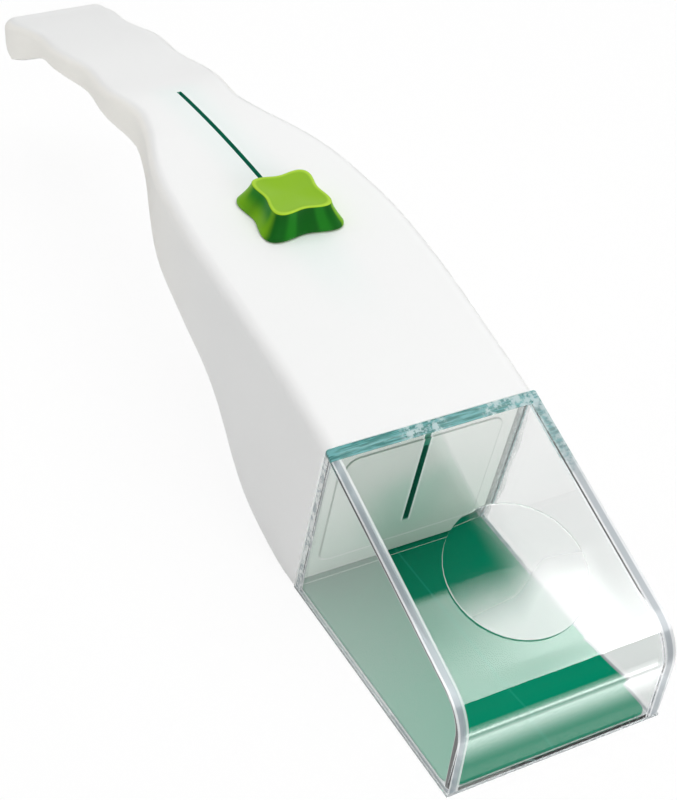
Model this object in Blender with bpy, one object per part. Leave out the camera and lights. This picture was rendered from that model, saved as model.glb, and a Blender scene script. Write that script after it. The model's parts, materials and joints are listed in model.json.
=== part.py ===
"""A hand-held catcher for live spiders and insects.

A clear wedge-shaped chamber stands over the animal. A thumb button on the back of the handle
pushes a thin flexible sheet out of the housing, along the chamber's open floor, to close it.

Metres, +Z up. The chamber points along -Y and the handle along +Y. The floor rim lies on Z = 0.
The origin is under the middle of the whole catcher. Outlines are drawn with Y counted from the
foremost point of the chamber, and one empty carries everything back to the origin.
"""

import math

import bmesh
import bpy
from mathutils import Vector

for old in list(bpy.data.objects):
    bpy.data.objects.remove(old, do_unlink=True)

# Whole object: the chamber's floor, then the housing's shoulder, then the grip
BODY_HEIGHT = 0.085
SHOULDER_LENGTH = 0.1569
GRIP_LENGTH = 0.1457
CHAMBER_WIDTH = 0.070
CLEARANCE = 0.0003
OVERRUN = 0.004

# Clear chamber, seen from the side
FLOOR_LENGTH = 0.0922
CHAMBER_HEIGHT = 0.0642
REAR_LEAN = 0.0156
BEND_HEIGHT = 0.0321
BEND_REACH = 0.0032
BEND_RADIUS = 0.0139
CHAMBER_WALL = 0.0030
REAR_WALL = 0.0020
CHAMBER_EDGE_RADIUS = 0.0009
SPIGOT_LENGTH = 0.005
SPIGOT_WALL = 0.0015
RIM_THICKNESS = 0.0010
RIM_WIDTH = 0.0055
RIM_FRONT_WIDTH = 0.0036
RIM_REAR_WIDTH = 0.0045
RIM_TAIL_LENGTH = 0.0028

# Magnifying lens on the sloping panel
LENS_DIAMETER = 0.042
LENS_RISE = 0.0024
LENS_EDGE = 0.0004
LENS_SETBACK = 0.0515

# White housing
HOUSING_WALL = 0.0022
BASE_THICKNESS = 0.0012
TOP_CORNER_RADIUS = 0.0042
BOTTOM_CORNER_RADIUS = 0.0012
LEAN_RUN = 0.055
TIP_LENGTH = 0.0118
TIP_CORNER_RADIUS = 0.0050
TIP_WALL = 0.0230
GRIP_WIDTH = 0.0418
GRIP_WAVE = 0.0011
GRIP_WAVE_PITCH = 0.052
GRIP_WAVE_CREST = 0.067

# Arched track that the thumb button runs along
TRACK_RADIUS = 0.590
CREST_SETBACK = 0.0579
TRACK_LEAD = 0.0164
TRACK_MARGIN = 0.0011
JOINT_SLOPE_SHARE = 0.29

# Thumb button and what hangs under it
TRAVEL = 0.082
BUTTON_SETBACK = 0.0780
BUTTON_WIDTH = 0.0280
BUTTON_LENGTH = 0.0272
BUTTON_TOP_WIDTH = 0.0204
BUTTON_TOP_LENGTH = 0.0213
BUTTON_HEIGHT = 0.0080
BUTTON_RIM = 0.0006
BUTTON_DISH = 0.0005
SLOT_WIDTH = 0.0016
BLADE_LENGTH = 0.012
STRIP_WIDTH = 0.020
STRIP_THICKNESS = 0.0008
STRIP_REACH = 0.100
STRIP_LEAD = 0.0751
CARRIAGE_WIDTH = 0.018
CARRIAGE_FRONT = 0.0125
CARRIAGE_REAR = 0.0170
CARRIAGE_THICKNESS = 0.0030
PIN_DIAMETER = 0.0016
PIN_LENGTH = 0.013
STUD_DIAMETER = 0.0024
STUD_HEAD_DIAMETER = 0.0044
STUD_HEAD = 0.0008
STUD_SPREAD = 0.011
STUD_PLACE = 0.0130
STUD_DEPTH = 0.0024

# Flexible sheet and the tracks that it bends along
SHEET_THICKNESS = 0.0006
SHEET_TAIL = 0.0026
SHEET_CORNER_RADIUS = 0.0025
TONGUE_WIDTH = 0.024
TONGUE_BEND_RADIUS = 0.026
TONGUE_SLOPE = math.radians(60)
GROOVE_HEIGHT = 0.0014
TRACK_FLANGE = 0.0012
TRACK_DEPTH = 0.0022

# Bulkhead behind the chamber
BULKHEAD_THICKNESS = 0.0020
PANEL_RISE = 0.0005
PANEL_MARGIN = 0.0045
PANEL_FOOT = 0.0095
PANEL_CORNER_RADIUS = 0.0040
SLIT_WIDTH = 0.0020
SLIT_FOOT = 0.0180
SLIT_HEIGHT = 0.0340
MOUTH_HEIGHT = 0.0024

# Screws that hold the base to the shell
SCREW_DIAMETER = 0.0025
SCREW_HEAD_DIAMETER = 0.0042
SCREW_HEAD = 0.0014
SCREW_RECESS = 0.0006
BOSS_DIAMETER = 0.0066
SHOULDER_SCREW_PLACE = 0.1036
SHOULDER_SCREW_SPREAD = 0.044
NECK_SCREW_MARGIN = 0.0144
NECK_SCREW_SPREAD = 0.0272
NECK_BOSS_DIAMETER = 0.0062
TAIL_SCREW_MARGIN = 0.0315
SCREW_REACH_SHARE = 0.76
SCREW_BITE_SHARE = 0.80

# Outlines of the housing. Places are shares of the shoulder's or the grip's length, heights are
# shares of the body height, and half widths are shares of the chamber's half width
GRIP_TOP_SHARES = (
    (0.234, 0.953),
    (0.417, 0.911),
    (0.539, 0.877),
    (0.665, 0.835),
    (0.812, 0.788),
    (0.918, 0.742),
)
SHOULDER_BOTTOM_SHARES = (
    (0.076, 0.01),
    (0.152, 0.058),
    (0.215, 0.121),
    (0.261, 0.199),
    (0.299, 0.292),
    (0.334, 0.376),
    (0.385, 0.458),
    (0.451, 0.518),
    (0.534, 0.559),
    (0.623, 0.593),
    (0.714, 0.631),
    (0.848, 0.724),
)
GRIP_BOTTOM_SHARES = (
    (0.007, 0.818),
    (0.178, 0.831),
    (0.302, 0.8235),
    (0.417, 0.798),
    (0.534, 0.776),
    (0.684, 0.718),
    (0.828, 0.607),
    (0.918, 0.545),
)
HALF_WIDTH_SHARES = (
    (-0.099, 1.0),
    (0.081, 1.006),
    (0.241, 1.028),
    (0.370, 1.037),
    (0.484, 1.028),
    (0.605, 0.98),
    (0.675, 0.944),
    (0.744, 0.884),
    (0.821, 0.785),
    (0.911, 0.655),
)
LOBE_SHARE = 0.09
SQUARE_POWER = 5.0
FLARE_POWER = 1.35

# Shares of small shapes
WELD_SHARE = 0.01
FULL_ROUND_SHARE = 0.98
LENS_APEX_SHARE = 0.5
TIP_APEX_SHARE = 0.3
HEAD_CROWN_SHARE = 0.70
HEAD_SIDE_SHARE = 0.60
SCREW_POINT_SHARE = 0.33
RIM_TONGUE_SHARE = 0.75

# How finely curves are cut
STATIONS = 58
TIP_STATIONS = 6
TOP_CORNER_STEPS = 5
BOTTOM_CORNER_STEPS = 2
BEND_STEPS = 14
LENS_STEPS = 48
LENS_RINGS = 6
BUTTON_STEPS = 64
BUTTON_RINGS = 7
ROUND_STEPS = 16
CORNER_STEPS = 4
SLOT_END_STEPS = 8
SHARP_ANGLE = math.radians(35)
PATH_STEPS = 12
TRACK_FIRST_STEP = 9
FLIGHT_STEPS = 6
STRIP_STATIONS = 24

# Materials: base colour, roughness, metallic
FINISHES = {
    "white_plastic": ((0.86, 0.87, 0.86, 1.0), 0.38, 0.0),
    "inner_plastic": ((0.78, 0.80, 0.79, 1.0), 0.45, 0.0),
    "clear_plastic": ((0.86, 0.93, 0.92, 0.30), 0.04, 0.0),
    "lens_plastic": ((0.92, 0.96, 0.96, 0.35), 0.02, 0.0),
    "lime_plastic": ((0.27, 0.52, 0.035, 1.0), 0.35, 0.0),
    "green_plastic": ((0.012, 0.17, 0.10, 1.0), 0.40, 0.0),
    "green_sheet": ((0.005, 0.19, 0.12, 1.0), 0.30, 0.0),
    "steel": ((0.60, 0.60, 0.61, 1.0), 0.30, 1.0),
}


def cubic(t, start, start_rise, end, end_rise):
    """Value at a share t of the way along a cubic, given its ends and the rise at each."""
    return (
        (2 * t**3 - 3 * t**2 + 1) * start
        + (t**3 - 2 * t**2 + t) * start_rise
        + (3 * t**2 - 2 * t**3) * end
        + (t**3 - t**2) * end_rise
    )


def interpolate(points, place):
    """Height of a smooth curve through points at one place: cubics with averaged slopes."""
    last = len(points) - 1

    def slope(index):
        low, high = points[max(index - 1, 0)], points[min(index + 1, last)]
        return (high[1] - low[1]) / (high[0] - low[0])

    index = 0
    while index < last - 1 and place > points[index + 1][0]:
        index += 1
    (x0, y0), (x1, y1) = points[index], points[index + 1]
    run = x1 - x0
    t = min(max((place - x0) / run, 0.0), 1.0)
    return cubic(t, y0, slope(index) * run, y1, slope(index + 1) * run)


# Side outline of the chamber: a straight front wall, a bend, and a straight sloping panel
front_direction = Vector((-BEND_REACH, BEND_HEIGHT)).normalized()
panel_rise = CHAMBER_HEIGHT - BEND_HEIGHT
panel_run = FLOOR_LENGTH - REAR_LEAN + BEND_REACH
panel_direction = Vector((panel_run, panel_rise)).normalized()
bend_turn = front_direction.angle(panel_direction)
bend_corner = Vector((-BEND_REACH, BEND_HEIGHT))
bend_half = math.tan(bend_turn / 2)
front_normal = Vector((front_direction.y, -front_direction.x))
panel_normal = Vector((-panel_direction.y, panel_direction.x))
bend_centre = bend_corner - front_direction * BEND_RADIUS * bend_half + front_normal * BEND_RADIUS

# The foot of the front wall stands back from the foremost point, which is on the bend
FOOT = BEND_RADIUS - bend_centre.x
REAR_FOOT = FOOT + FLOOR_LENGTH
REAR_TOP = REAR_FOOT - REAR_LEAN
GRIP_START = REAR_FOOT + SHOULDER_LENGTH
OVERALL_LENGTH = GRIP_START + GRIP_LENGTH
HALF_WIDTH = CHAMBER_WIDTH / 2
INNER_HALF_WIDTH = HALF_WIDTH - CHAMBER_WALL
WALL_FOOT = RIM_THICKNESS + CLEARANCE
SHEET_BOTTOM = WALL_FOOT
SHEET_TOP = SHEET_BOTTOM + SHEET_THICKNESS
SHEET_MIDDLE = SHEET_BOTTOM + SHEET_THICKNESS / 2
SHEET_WIDTH = 2 * (INNER_HALF_WIDTH - CLEARANCE)
rear_direction = Vector((-REAR_LEAN, CHAMBER_HEIGHT)).normalized()
rear_normal = Vector((rear_direction.y, -rear_direction.x))
TRACK_CENTRE_HEIGHT = BODY_HEIGHT - TRACK_RADIUS
BUTTON_PLACE = REAR_FOOT + BUTTON_SETBACK
TRACK_CREST = BUTTON_PLACE + CREST_SETBACK
TRACK_START = BUTTON_PLACE - BLADE_LENGTH / 2 - TRACK_LEAD
TRACK_END = BUTTON_PLACE + BLADE_LENGTH / 2 + TRAVEL + 3 * CLEARANCE + TRACK_MARGIN
TIP_START = OVERALL_LENGTH - TIP_LENGTH
CAVITY_END = OVERALL_LENGTH - TIP_WALL


def rear_point(height, behind=0.0):
    """Point of the chamber's leaning rear plane, or of a plane behind it, at a height."""
    foot = Vector((REAR_FOOT, 0.0)) + rear_normal * behind
    return foot + rear_direction * ((height - foot.y) / rear_direction.y)


def track_height(place):
    return TRACK_CENTRE_HEIGHT + math.sqrt(TRACK_RADIUS**2 - (place - TRACK_CREST) ** 2)


def track_slope(place):
    return (TRACK_CREST - place) / (track_height(place) - TRACK_CENTRE_HEIGHT)


def top_height(place):
    """Upper side outline of the housing: a swell, the arched track, then the drooping grip."""
    if place < TRACK_START:
        run = TRACK_START - REAR_TOP
        t = max((place - REAR_TOP) / run, 0.0)
        rises = JOINT_SLOPE_SHARE * run, track_slope(TRACK_START) * run
        return cubic(t, CHAMBER_HEIGHT, rises[0], track_height(TRACK_START), rises[1])
    if place <= TRACK_END:
        return track_height(place)
    before = TRACK_END - (TRACK_CREST - TRACK_START) / 4
    joint = [(before, track_height(before)), (TRACK_END, track_height(TRACK_END))]
    # The grip's points that the track reaches over give way to the track
    grip = [(GRIP_START + a * GRIP_LENGTH, b * BODY_HEIGHT) for a, b in GRIP_TOP_SHARES]
    return interpolate(joint + [p for p in grip if p[0] > TRACK_END + TRACK_LEAD], place)


def bottom_height(place):
    """Lower side outline of the housing: a flat foot, a steep rise, the grip and its hook."""
    foot = [(REAR_FOOT - REAR_LEAN, 0.0), (REAR_FOOT + RIM_TAIL_LENGTH, 0.0)]
    rise = [(REAR_FOOT + a * SHOULDER_LENGTH, b * BODY_HEIGHT) for a, b in SHOULDER_BOTTOM_SHARES]
    grip = [(GRIP_START + a * GRIP_LENGTH, b * BODY_HEIGHT) for a, b in GRIP_BOTTOM_SHARES]
    return interpolate(foot + rise + grip, place)


def half_width(place):
    """Half width of the housing in plan, with shallow finger waves along the grip."""
    if place > GRIP_START:
        crest = OVERALL_LENGTH - GRIP_WAVE_CREST
        wave = math.cos(2 * math.pi * (place - crest) / GRIP_WAVE_PITCH)
        half = GRIP_WIDTH / 2 + GRIP_WAVE * wave
        beyond = place - (OVERALL_LENGTH - TIP_CORNER_RADIUS)
        if beyond > 0.0:
            inner = math.sqrt(max(TIP_CORNER_RADIUS**2 - beyond**2, 0.0))
            half -= TIP_CORNER_RADIUS - inner
        return half
    shoulder = [(REAR_FOOT + a * SHOULDER_LENGTH, b * HALF_WIDTH) for a, b in HALF_WIDTH_SHARES]
    wave = math.cos(2 * math.pi * (GRIP_WAVE_CREST - GRIP_LENGTH) / GRIP_WAVE_PITCH)
    return interpolate(shoulder + [(GRIP_START, GRIP_WIDTH / 2 + GRIP_WAVE * wave)], place)


def add_frame(name, place, parent=None, tilt=0.0):
    """An empty that carries the pieces of one body."""
    made = bpy.data.objects.new(name, None)
    bpy.context.scene.collection.objects.link(made)
    made.parent = parent
    made.location = place
    made.rotation_euler = (tilt, 0.0, 0.0)
    return made


button_angle = math.asin((TRACK_CREST - BUTTON_PLACE) / TRACK_RADIUS)
track_centre = (0.0, TRACK_CREST, TRACK_CENTRE_HEIGHT)
root = add_frame("catcher_frame", (0.0, -OVERALL_LENGTH / 2, 0.0))
thumb_pivot = add_frame("thumb_slide_axis", track_centre, root, button_angle)
sheet_runner = add_frame("sheet_slide_axis", (0.0, REAR_FOOT, SHEET_MIDDLE), root)
bpy.context.view_layer.update()


def material(name):
    """The named finish as a Principled material, made once."""
    found = bpy.data.materials.get(name)
    if found:
        return found
    colour, roughness, metallic = FINISHES[name]
    made = bpy.data.materials.new(name)
    made.use_nodes = True
    shader = made.node_tree.nodes["Principled BSDF"]
    shader.inputs["Base Color"].default_value = colour
    shader.inputs["Roughness"].default_value = roughness
    shader.inputs["Metallic"].default_value = metallic
    shader.inputs["Alpha"].default_value = colour[3]
    made.diffuse_color = colour
    return made


def add_object(name, mesh, finish=None, parent=None):
    """A bmesh drawn in the catcher's frame becomes an object under its parent."""
    parent = parent or root
    bmesh.ops.remove_doubles(mesh, verts=mesh.verts, dist=CLEARANCE * WELD_SHARE)
    bmesh.ops.recalc_face_normals(mesh, faces=mesh.faces)
    data = bpy.data.meshes.new(name)
    mesh.to_mesh(data)
    mesh.free()
    if parent != root:
        data.transform(parent.matrix_world.inverted() @ root.matrix_world)
    made = bpy.data.objects.new(name, data)
    bpy.context.scene.collection.objects.link(made)
    made.parent = parent
    if finish:
        data.materials.append(material(finish))
        data.shade_smooth()
        data.set_sharp_from_angle(angle=SHARP_ANGLE)
    else:
        made.hide_render = True
        made.display_type = "WIRE"
    return made


def loft_into(mesh, rings):
    """Adds a closed body through rings of equally many points, capped at both ends."""
    loops = [[mesh.verts.new(point) for point in ring] for ring in rings]
    count = len(rings[0])
    for before, after in zip(loops, loops[1:]):
        for k in range(count):
            j = (k + 1) % count
            mesh.faces.new((before[k], before[j], after[j], after[k]))
    mesh.faces.new(list(reversed(loops[0])))
    mesh.faces.new(loops[-1])


def loft(name, rings, finish=None, parent=None):
    mesh = bmesh.new()
    loft_into(mesh, rings)
    return add_object(name, mesh, finish, parent)


def prism_into(mesh, outline, half):
    """Adds a side outline of (Y, Z) points, pulled out to both sides of the middle plane."""
    loft_into(mesh, [[(x, y, z) for y, z in outline] for x in (-half, half)])


def prism(name, outline, half, finish=None, parent=None):
    mesh = bmesh.new()
    prism_into(mesh, outline, half)
    return add_object(name, mesh, finish, parent)


def arc(radius, steps, centre, start, turn):
    """Points of an arc round a centre, both ends counted, from a start angle over a turn."""
    angles = [start + turn * k / steps for k in range(steps + 1)]
    return [(centre[0] + radius * math.cos(a), centre[1] + radius * math.sin(a)) for a in angles]


def circle(radius, steps, centre=(0.0, 0.0)):
    """Points of a circle that goes round the given centre once."""
    return arc(radius, steps, centre, 0.0, 2 * math.pi)[:-1]


def post_into(mesh, x, y, sections):
    """Adds an upright turned post at (x, y) through (radius, height) sections."""
    loft_into(mesh, [[(a, b, z) for a, b in circle(r, ROUND_STEPS, (x, y))] for r, z in sections])


def combine(target, operation, other):
    """Gives the target an exact Boolean with another object."""
    modifier = target.modifiers.new(other.name, "BOOLEAN")
    modifier.operation = operation
    modifier.solver = "EXACT"
    modifier.object = other


def chamber_outline(inset, foot):
    """Side outline of the chamber at a distance inside its outer faces, down to a height."""
    radius = BEND_RADIUS - inset
    centre = Vector((bend_centre.x + FOOT, bend_centre.y))
    start = math.atan2(-front_normal.y, -front_normal.x)
    points = []
    for step in range(BEND_STEPS + 1):
        angle = start - bend_turn * step / BEND_STEPS
        points.append(centre + radius * Vector((math.cos(angle), math.sin(angle))))
    front_foot = points[0] - front_direction * ((points[0].y - foot) / front_direction.y)
    behind = Vector((REAR_FOOT, 0.0)) - rear_normal * inset
    to_rear = (behind - points[-1]).dot(rear_normal) / panel_direction.dot(rear_normal)
    rear_top = points[-1] + panel_direction * to_rear
    rear_foot = rear_top - rear_direction * ((rear_top.y - foot) / rear_direction.y)
    return [tuple(p) for p in [front_foot] + points + [rear_top, rear_foot]]


def spigot_rings(near, far, inset, drop):
    """Sections of the chamber's spigot, which follows the inside of the shell at an inset."""
    radius = max(TOP_CORNER_RADIUS - inset, CLEARANCE)
    rings = []
    for behind in (near, far):
        place = REAR_TOP + behind / rear_normal.x
        rings.append(housing_ring(place, inset, radius, BOTTOM_CORNER_RADIUS, drop))
    return rings


def make_chamber():
    """Clear chamber: sides, bent panel and rear wall in one, with a spigot into the housing."""
    mesh = bmesh.new()
    prism_into(mesh, chamber_outline(0.0, WALL_FOOT), HALF_WIDTH)
    long_edges = [e for e in mesh.edges if len({v.co.x for v in e.verts}) == 1]
    rims = [e for e in long_edges if max(v.co.z for v in e.verts) > WALL_FOOT + CLEARANCE]
    bmesh.ops.bevel(
        mesh,
        geom=rims,
        offset=CHAMBER_EDGE_RADIUS,
        segments=2,
        profile=0.5,
        affect="EDGES",
        clamp_overlap=True,
    )
    chamber = add_object("catch_chamber", mesh, "clear_plastic")
    inset = HOUSING_WALL + CLEARANCE
    foot = MOUTH_HEIGHT + CLEARANCE
    outer_rings = spigot_rings(-REAR_WALL / 2, SPIGOT_LENGTH, inset, -foot)
    spigot = loft("chamber_spigot_core", outer_rings)
    mesh = bmesh.new()
    inner = chamber_outline(CHAMBER_WALL, -OVERRUN)
    rear_inset = rear_normal * (CHAMBER_WALL - REAR_WALL)
    inner[-2:] = [tuple(Vector(p) + rear_inset) for p in inner[-2:]]
    prism_into(mesh, inner, INNER_HALF_WIDTH)
    hollow = add_object("chamber_hollow_cutter", mesh)
    reach = SPIGOT_LENGTH + OVERRUN
    inner_rings = spigot_rings(-REAR_WALL / 8, reach, inset + SPIGOT_WALL, OVERRUN)
    spigot_hollow = loft("spigot_hollow_cutter", inner_rings)
    mouth_near = REAR_FOOT - CHAMBER_WALL - OVERRUN
    mouth_far = REAR_FOOT + SPIGOT_LENGTH
    mouth = [
        (mouth_near, -OVERRUN),
        (mouth_near, MOUTH_HEIGHT),
        (mouth_far, MOUTH_HEIGHT),
        (mouth_far, -OVERRUN),
    ]
    mouth_cutter = prism("sheet_mouth_cutter", mouth, INNER_HALF_WIDTH)
    combine(chamber, "UNION", spigot)
    combine(chamber, "DIFFERENCE", hollow)
    combine(chamber, "DIFFERENCE", spigot_hollow)
    combine(chamber, "DIFFERENCE", mouth_cutter)


def make_lens():
    """Plano-convex magnifier, seated on the outside of the sloping panel."""
    radius = LENS_DIAMETER / 2
    cap_radius = (radius**2 + LENS_RISE**2) / (2 * LENS_RISE)
    cap_angle = math.asin(radius / cap_radius)
    middle = Vector((REAR_TOP, CHAMBER_HEIGHT)) - panel_direction * LENS_SETBACK
    rings = []
    heights = [(radius, 0.0)]
    for step in range(LENS_RINGS + 1):
        angle = cap_angle * (1 - step / (LENS_RINGS + LENS_APEX_SHARE))
        rise = cap_radius * (math.cos(angle) - math.cos(cap_angle))
        heights.append((cap_radius * math.sin(angle), LENS_EDGE + rise))
    for ring_radius, height in heights:
        at = middle + panel_normal * (CLEARANCE + height)
        ring = []
        for a, b in circle(ring_radius, LENS_STEPS):
            along = at + panel_direction * b
            ring.append((a, along.x, along.y))
        rings.append(ring)
    loft("magnifier_lens", rings, "lens_plastic")


def make_guide_frame():
    """Clear rim under the chamber: side rails, a front bar and a rear bar under the sheet."""
    front = FOOT
    mesh = bmesh.new()
    rear = tuple(rear_point(RIM_THICKNESS))
    outline = [(front, 0.0), (front, RIM_THICKNESS), rear, (REAR_FOOT, 0.0)]
    prism_into(mesh, outline, HALF_WIDTH)
    frame = add_object("guide_frame", mesh, "clear_plastic")
    tail_half = HALF_WIDTH - HOUSING_WALL - CLEARANCE
    tail_near = REAR_FOOT - RIM_REAR_WIDTH / 2
    tail_far = REAR_FOOT + RIM_TAIL_LENGTH
    tail_low = RIM_THICKNESS * (1 - RIM_TONGUE_SHARE) / 2
    tail_high = RIM_THICKNESS - tail_low
    tail_outline = [
        (tail_near, tail_low),
        (tail_near, tail_high),
        (tail_far, tail_high),
        (tail_far, tail_low),
    ]
    tail = prism("rim_tail_core", tail_outline, tail_half)
    window_outline = [
        (front + RIM_FRONT_WIDTH, -OVERRUN),
        (front + RIM_FRONT_WIDTH, OVERRUN),
        (REAR_FOOT - RIM_REAR_WIDTH, OVERRUN),
        (REAR_FOOT - RIM_REAR_WIDTH, -OVERRUN),
    ]
    window = prism("rim_window_cutter", window_outline, HALF_WIDTH - RIM_WIDTH)
    combine(frame, "UNION", tail)
    combine(frame, "DIFFERENCE", window)


def housing_ring(place, inset, top_radius, bottom_radius, drop):
    """One closed section of the housing, leaning like the chamber's rear plane at the front."""
    lean_share = min(max((place - REAR_TOP) / LEAN_RUN, 0.0), 1.0)
    low_place = place + REAR_LEAN * (1 - lean_share)
    if place > TIP_START:
        reach = min((place - TIP_START) / TIP_LENGTH, 1.0)
        shrink = math.sqrt(max(1 - reach**2, 0.0))
        top_start, low_start = top_height(TIP_START), bottom_height(TIP_START)
        middle = (top_start + low_start) / 2
        top = middle + (top_start - middle) * shrink - inset
        low = middle + (low_start - middle) * shrink - drop
    else:
        top = top_height(place) - inset
        low = bottom_height(low_place) - drop
    half_height = (top - low) / 2
    top_round = min(top_radius, half_height * FULL_ROUND_SHARE)
    low_round = min(bottom_radius, half_height * FULL_ROUND_SHARE)
    corners = []
    for step in range(BOTTOM_CORNER_STEPS + 1):
        angle = math.pi / 2 * (step / BOTTOM_CORNER_STEPS - 1)
        corners.append((low_round * (1 - math.cos(angle)), low + low_round * (1 + math.sin(angle))))
    for step in range(TOP_CORNER_STEPS + 1):
        angle = math.pi / 2 * step / TOP_CORNER_STEPS
        corners.append((top_round * (1 - math.cos(angle)), top - top_round * (1 - math.sin(angle))))
    right = []
    for tuck, height in corners:
        share = (height - low) / (top - low)
        y = low_place + (place - low_place) * share
        right.append((half_width(min(y, OVERALL_LENGTH)) - inset - tuck, y, height))
    return right + [(-x, y, z) for x, y, z in reversed(right)]


def stations(start, end, count):
    return [start + (end - start) * k / count for k in range(count + 1)]


def screw_places():
    """Each screw's name, side, place and boss diameter."""
    places = []
    shoulder_place = REAR_FOOT + SHOULDER_SCREW_PLACE
    neck_place = TRACK_END + NECK_SCREW_MARGIN
    for side, sign in (("left", -1), ("right", 1)):
        shoulder_x = sign * SHOULDER_SCREW_SPREAD / 2
        neck_x = sign * NECK_SCREW_SPREAD / 2
        places.append((f"{side}_shoulder_screw", shoulder_x, shoulder_place, BOSS_DIAMETER))
        places.append((f"{side}_neck_screw", neck_x, neck_place, NECK_BOSS_DIAMETER))
    places.append(("tail_screw", 0.0, OVERALL_LENGTH - TAIL_SCREW_MARGIN, BOSS_DIAMETER))
    return places


def screw_levels(place):
    """Heights of a screw's seat, of the split between boss and post, and of the screw's tip."""
    seat = bottom_height(place) + SCREW_RECESS + SCREW_HEAD
    reach = (top_height(place) - HOUSING_WALL - seat) * SCREW_REACH_SHARE
    return seat, seat + reach * (1 - SCREW_BITE_SHARE), seat + reach


def make_shell():
    """White shell: top and sides in one moulding, with the thumb slot and the screw posts."""
    joint = REAR_TOP + CLEARANCE / rear_normal.x
    body_places = stations(joint, TIP_START, STATIONS)
    for step in range(1, TIP_STATIONS + 1):
        angle = math.pi / 2 * step / (TIP_STATIONS + TIP_APEX_SHARE)
        body_places.append(TIP_START + TIP_LENGTH * math.sin(angle))
    outer = [
        housing_ring(p, 0.0, TOP_CORNER_RADIUS, BOTTOM_CORNER_RADIUS, 0.0) for p in body_places
    ]
    shell = loft("housing_shell", outer, "white_plastic")
    inner_radius = TOP_CORNER_RADIUS - HOUSING_WALL
    inner_places = stations(joint - OVERRUN, CAVITY_END, STATIONS)
    inner = [
        housing_ring(p, HOUSING_WALL, inner_radius, BOTTOM_CORNER_RADIUS, OVERRUN)
        for p in inner_places
    ]
    cavity = loft("shell_cavity_cutter", inner)
    posts = bmesh.new()
    holes = bmesh.new()
    for _, x, y, boss in screw_places():
        _, split, tip = screw_levels(y)
        top = top_height(y) - HOUSING_WALL / 2
        post_into(posts, x, y, [(boss / 2, split), (boss / 2, top)])
        bore = SCREW_DIAMETER / 2 + CLEARANCE
        post_into(holes, x, y, [(bore, split - OVERRUN), (bore, tip + CLEARANCE)])
    post_core = add_object("shell_post_core", posts)
    slot_front = BUTTON_PLACE - BLADE_LENGTH / 2 - CLEARANCE
    slot_rear = BUTTON_PLACE + BLADE_LENGTH / 2 + TRAVEL + 2 * CLEARANCE
    half = SLOT_WIDTH / 2
    outline = arc(half, SLOT_END_STEPS, (0.0, slot_rear - half), 0.0, math.pi)
    outline += arc(half, SLOT_END_STEPS, (0.0, slot_front + half), math.pi, math.pi)
    low = BODY_HEIGHT - HOUSING_WALL - 2 * OVERRUN
    loft_into(holes, [[(x, y, z) for x, y in outline] for z in (low, BODY_HEIGHT + OVERRUN)])
    hole_cutter = add_object("shell_hole_cutter", holes)
    combine(shell, "DIFFERENCE", cavity)
    combine(shell, "UNION", post_core)
    combine(shell, "DIFFERENCE", hole_cutter)


def base_direction(place):
    """Unit direction along the lower outline at a place."""
    step = CLEARANCE
    rise = bottom_height(place + step) - bottom_height(place - step)
    return Vector((2 * step, rise)).normalized()


def make_base():
    """White base: a thin curved cover between the shell's sides, with the screw bosses."""
    places = stations(
        REAR_FOOT + RIM_TAIL_LENGTH + CLEARANCE, CAVITY_END - CLEARANCE, STATIONS
    )
    rings = []
    for place in places:
        direction = base_direction(place)
        low = Vector((place, bottom_height(place)))
        if place in (places[0], places[-1]):
            high = low + Vector((0.0, BASE_THICKNESS))
        else:
            high = low + Vector((-direction.y, direction.x)) * BASE_THICKNESS
        margin = HOUSING_WALL + CLEARANCE
        ring = []
        for point, sign in ((low, 1), (high, 1), (high, -1), (low, -1)):
            ring.append((sign * (half_width(point.x) - margin), point.x, point.y))
        rings.append(ring)
    base = loft("housing_base", rings, "white_plastic")
    bosses = bmesh.new()
    holes = bmesh.new()
    head = SCREW_HEAD_DIAMETER / 2 + CLEARANCE
    shank = SCREW_DIAMETER / 2 + CLEARANCE
    for _, x, y, boss in screw_places():
        low = bottom_height(y)
        seat, split, tip = screw_levels(y)
        sink = abs(bottom_height(y + boss / 2) - bottom_height(y - boss / 2)) / 2
        foot = low + sink + BASE_THICKNESS / 3
        post_into(bosses, x, y, [(boss / 2, foot), (boss / 2, split - CLEARANCE)])
        sections = [
            (head, low - OVERRUN),
            (head, seat + CLEARANCE),
            (shank, seat + CLEARANCE),
            (shank, tip),
        ]
        post_into(holes, x, y, sections)
    boss_core = add_object("base_boss_core", bosses)
    hole_cutter = add_object("base_hole_cutter", holes)
    combine(base, "UNION", boss_core)
    combine(base, "DIFFERENCE", hole_cutter)


def make_screws():
    """Pan-head screws, seated in the base and biting into the shell's posts."""
    for name, x, y, _ in screw_places():
        seat, _, tip = screw_levels(y)
        head, shank = SCREW_HEAD_DIAMETER / 2, SCREW_DIAMETER / 2
        mesh = bmesh.new()
        sections = [
            (head * HEAD_CROWN_SHARE, seat - SCREW_HEAD),
            (head, seat - SCREW_HEAD * HEAD_SIDE_SHARE),
            (head, seat),
            (shank, seat),
            (shank, tip - shank),
            (shank * SCREW_POINT_SHARE, tip),
        ]
        post_into(mesh, x, y, sections)
        add_object(name, mesh, "steel")


def rounded_rectangle(half, low, high, radius):
    """Points of an upright rectangle with round corners, as (X, height) pairs."""
    points = []
    corners = ((1, low, -1), (1, high, 0), (-1, high, 1), (-1, low, 2))
    for side, level, quarter in corners:
        inward = radius if level == low else -radius
        centre = (side * (half - radius), level + inward)
        points += arc(radius, CORNER_STEPS, centre, quarter * math.pi / 2, math.pi / 2)
    return points


def leaning_slab(mesh, outline, near, far):
    """Adds an outline of (X, height) points as a slab along the chamber's rear plane."""
    rings = []
    for behind in (near, far):
        ring = []
        for x, height in outline:
            at = rear_point(height, behind)
            ring.append((x, at.x, at.y))
        rings.append(ring)
    loft_into(mesh, rings)


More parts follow.
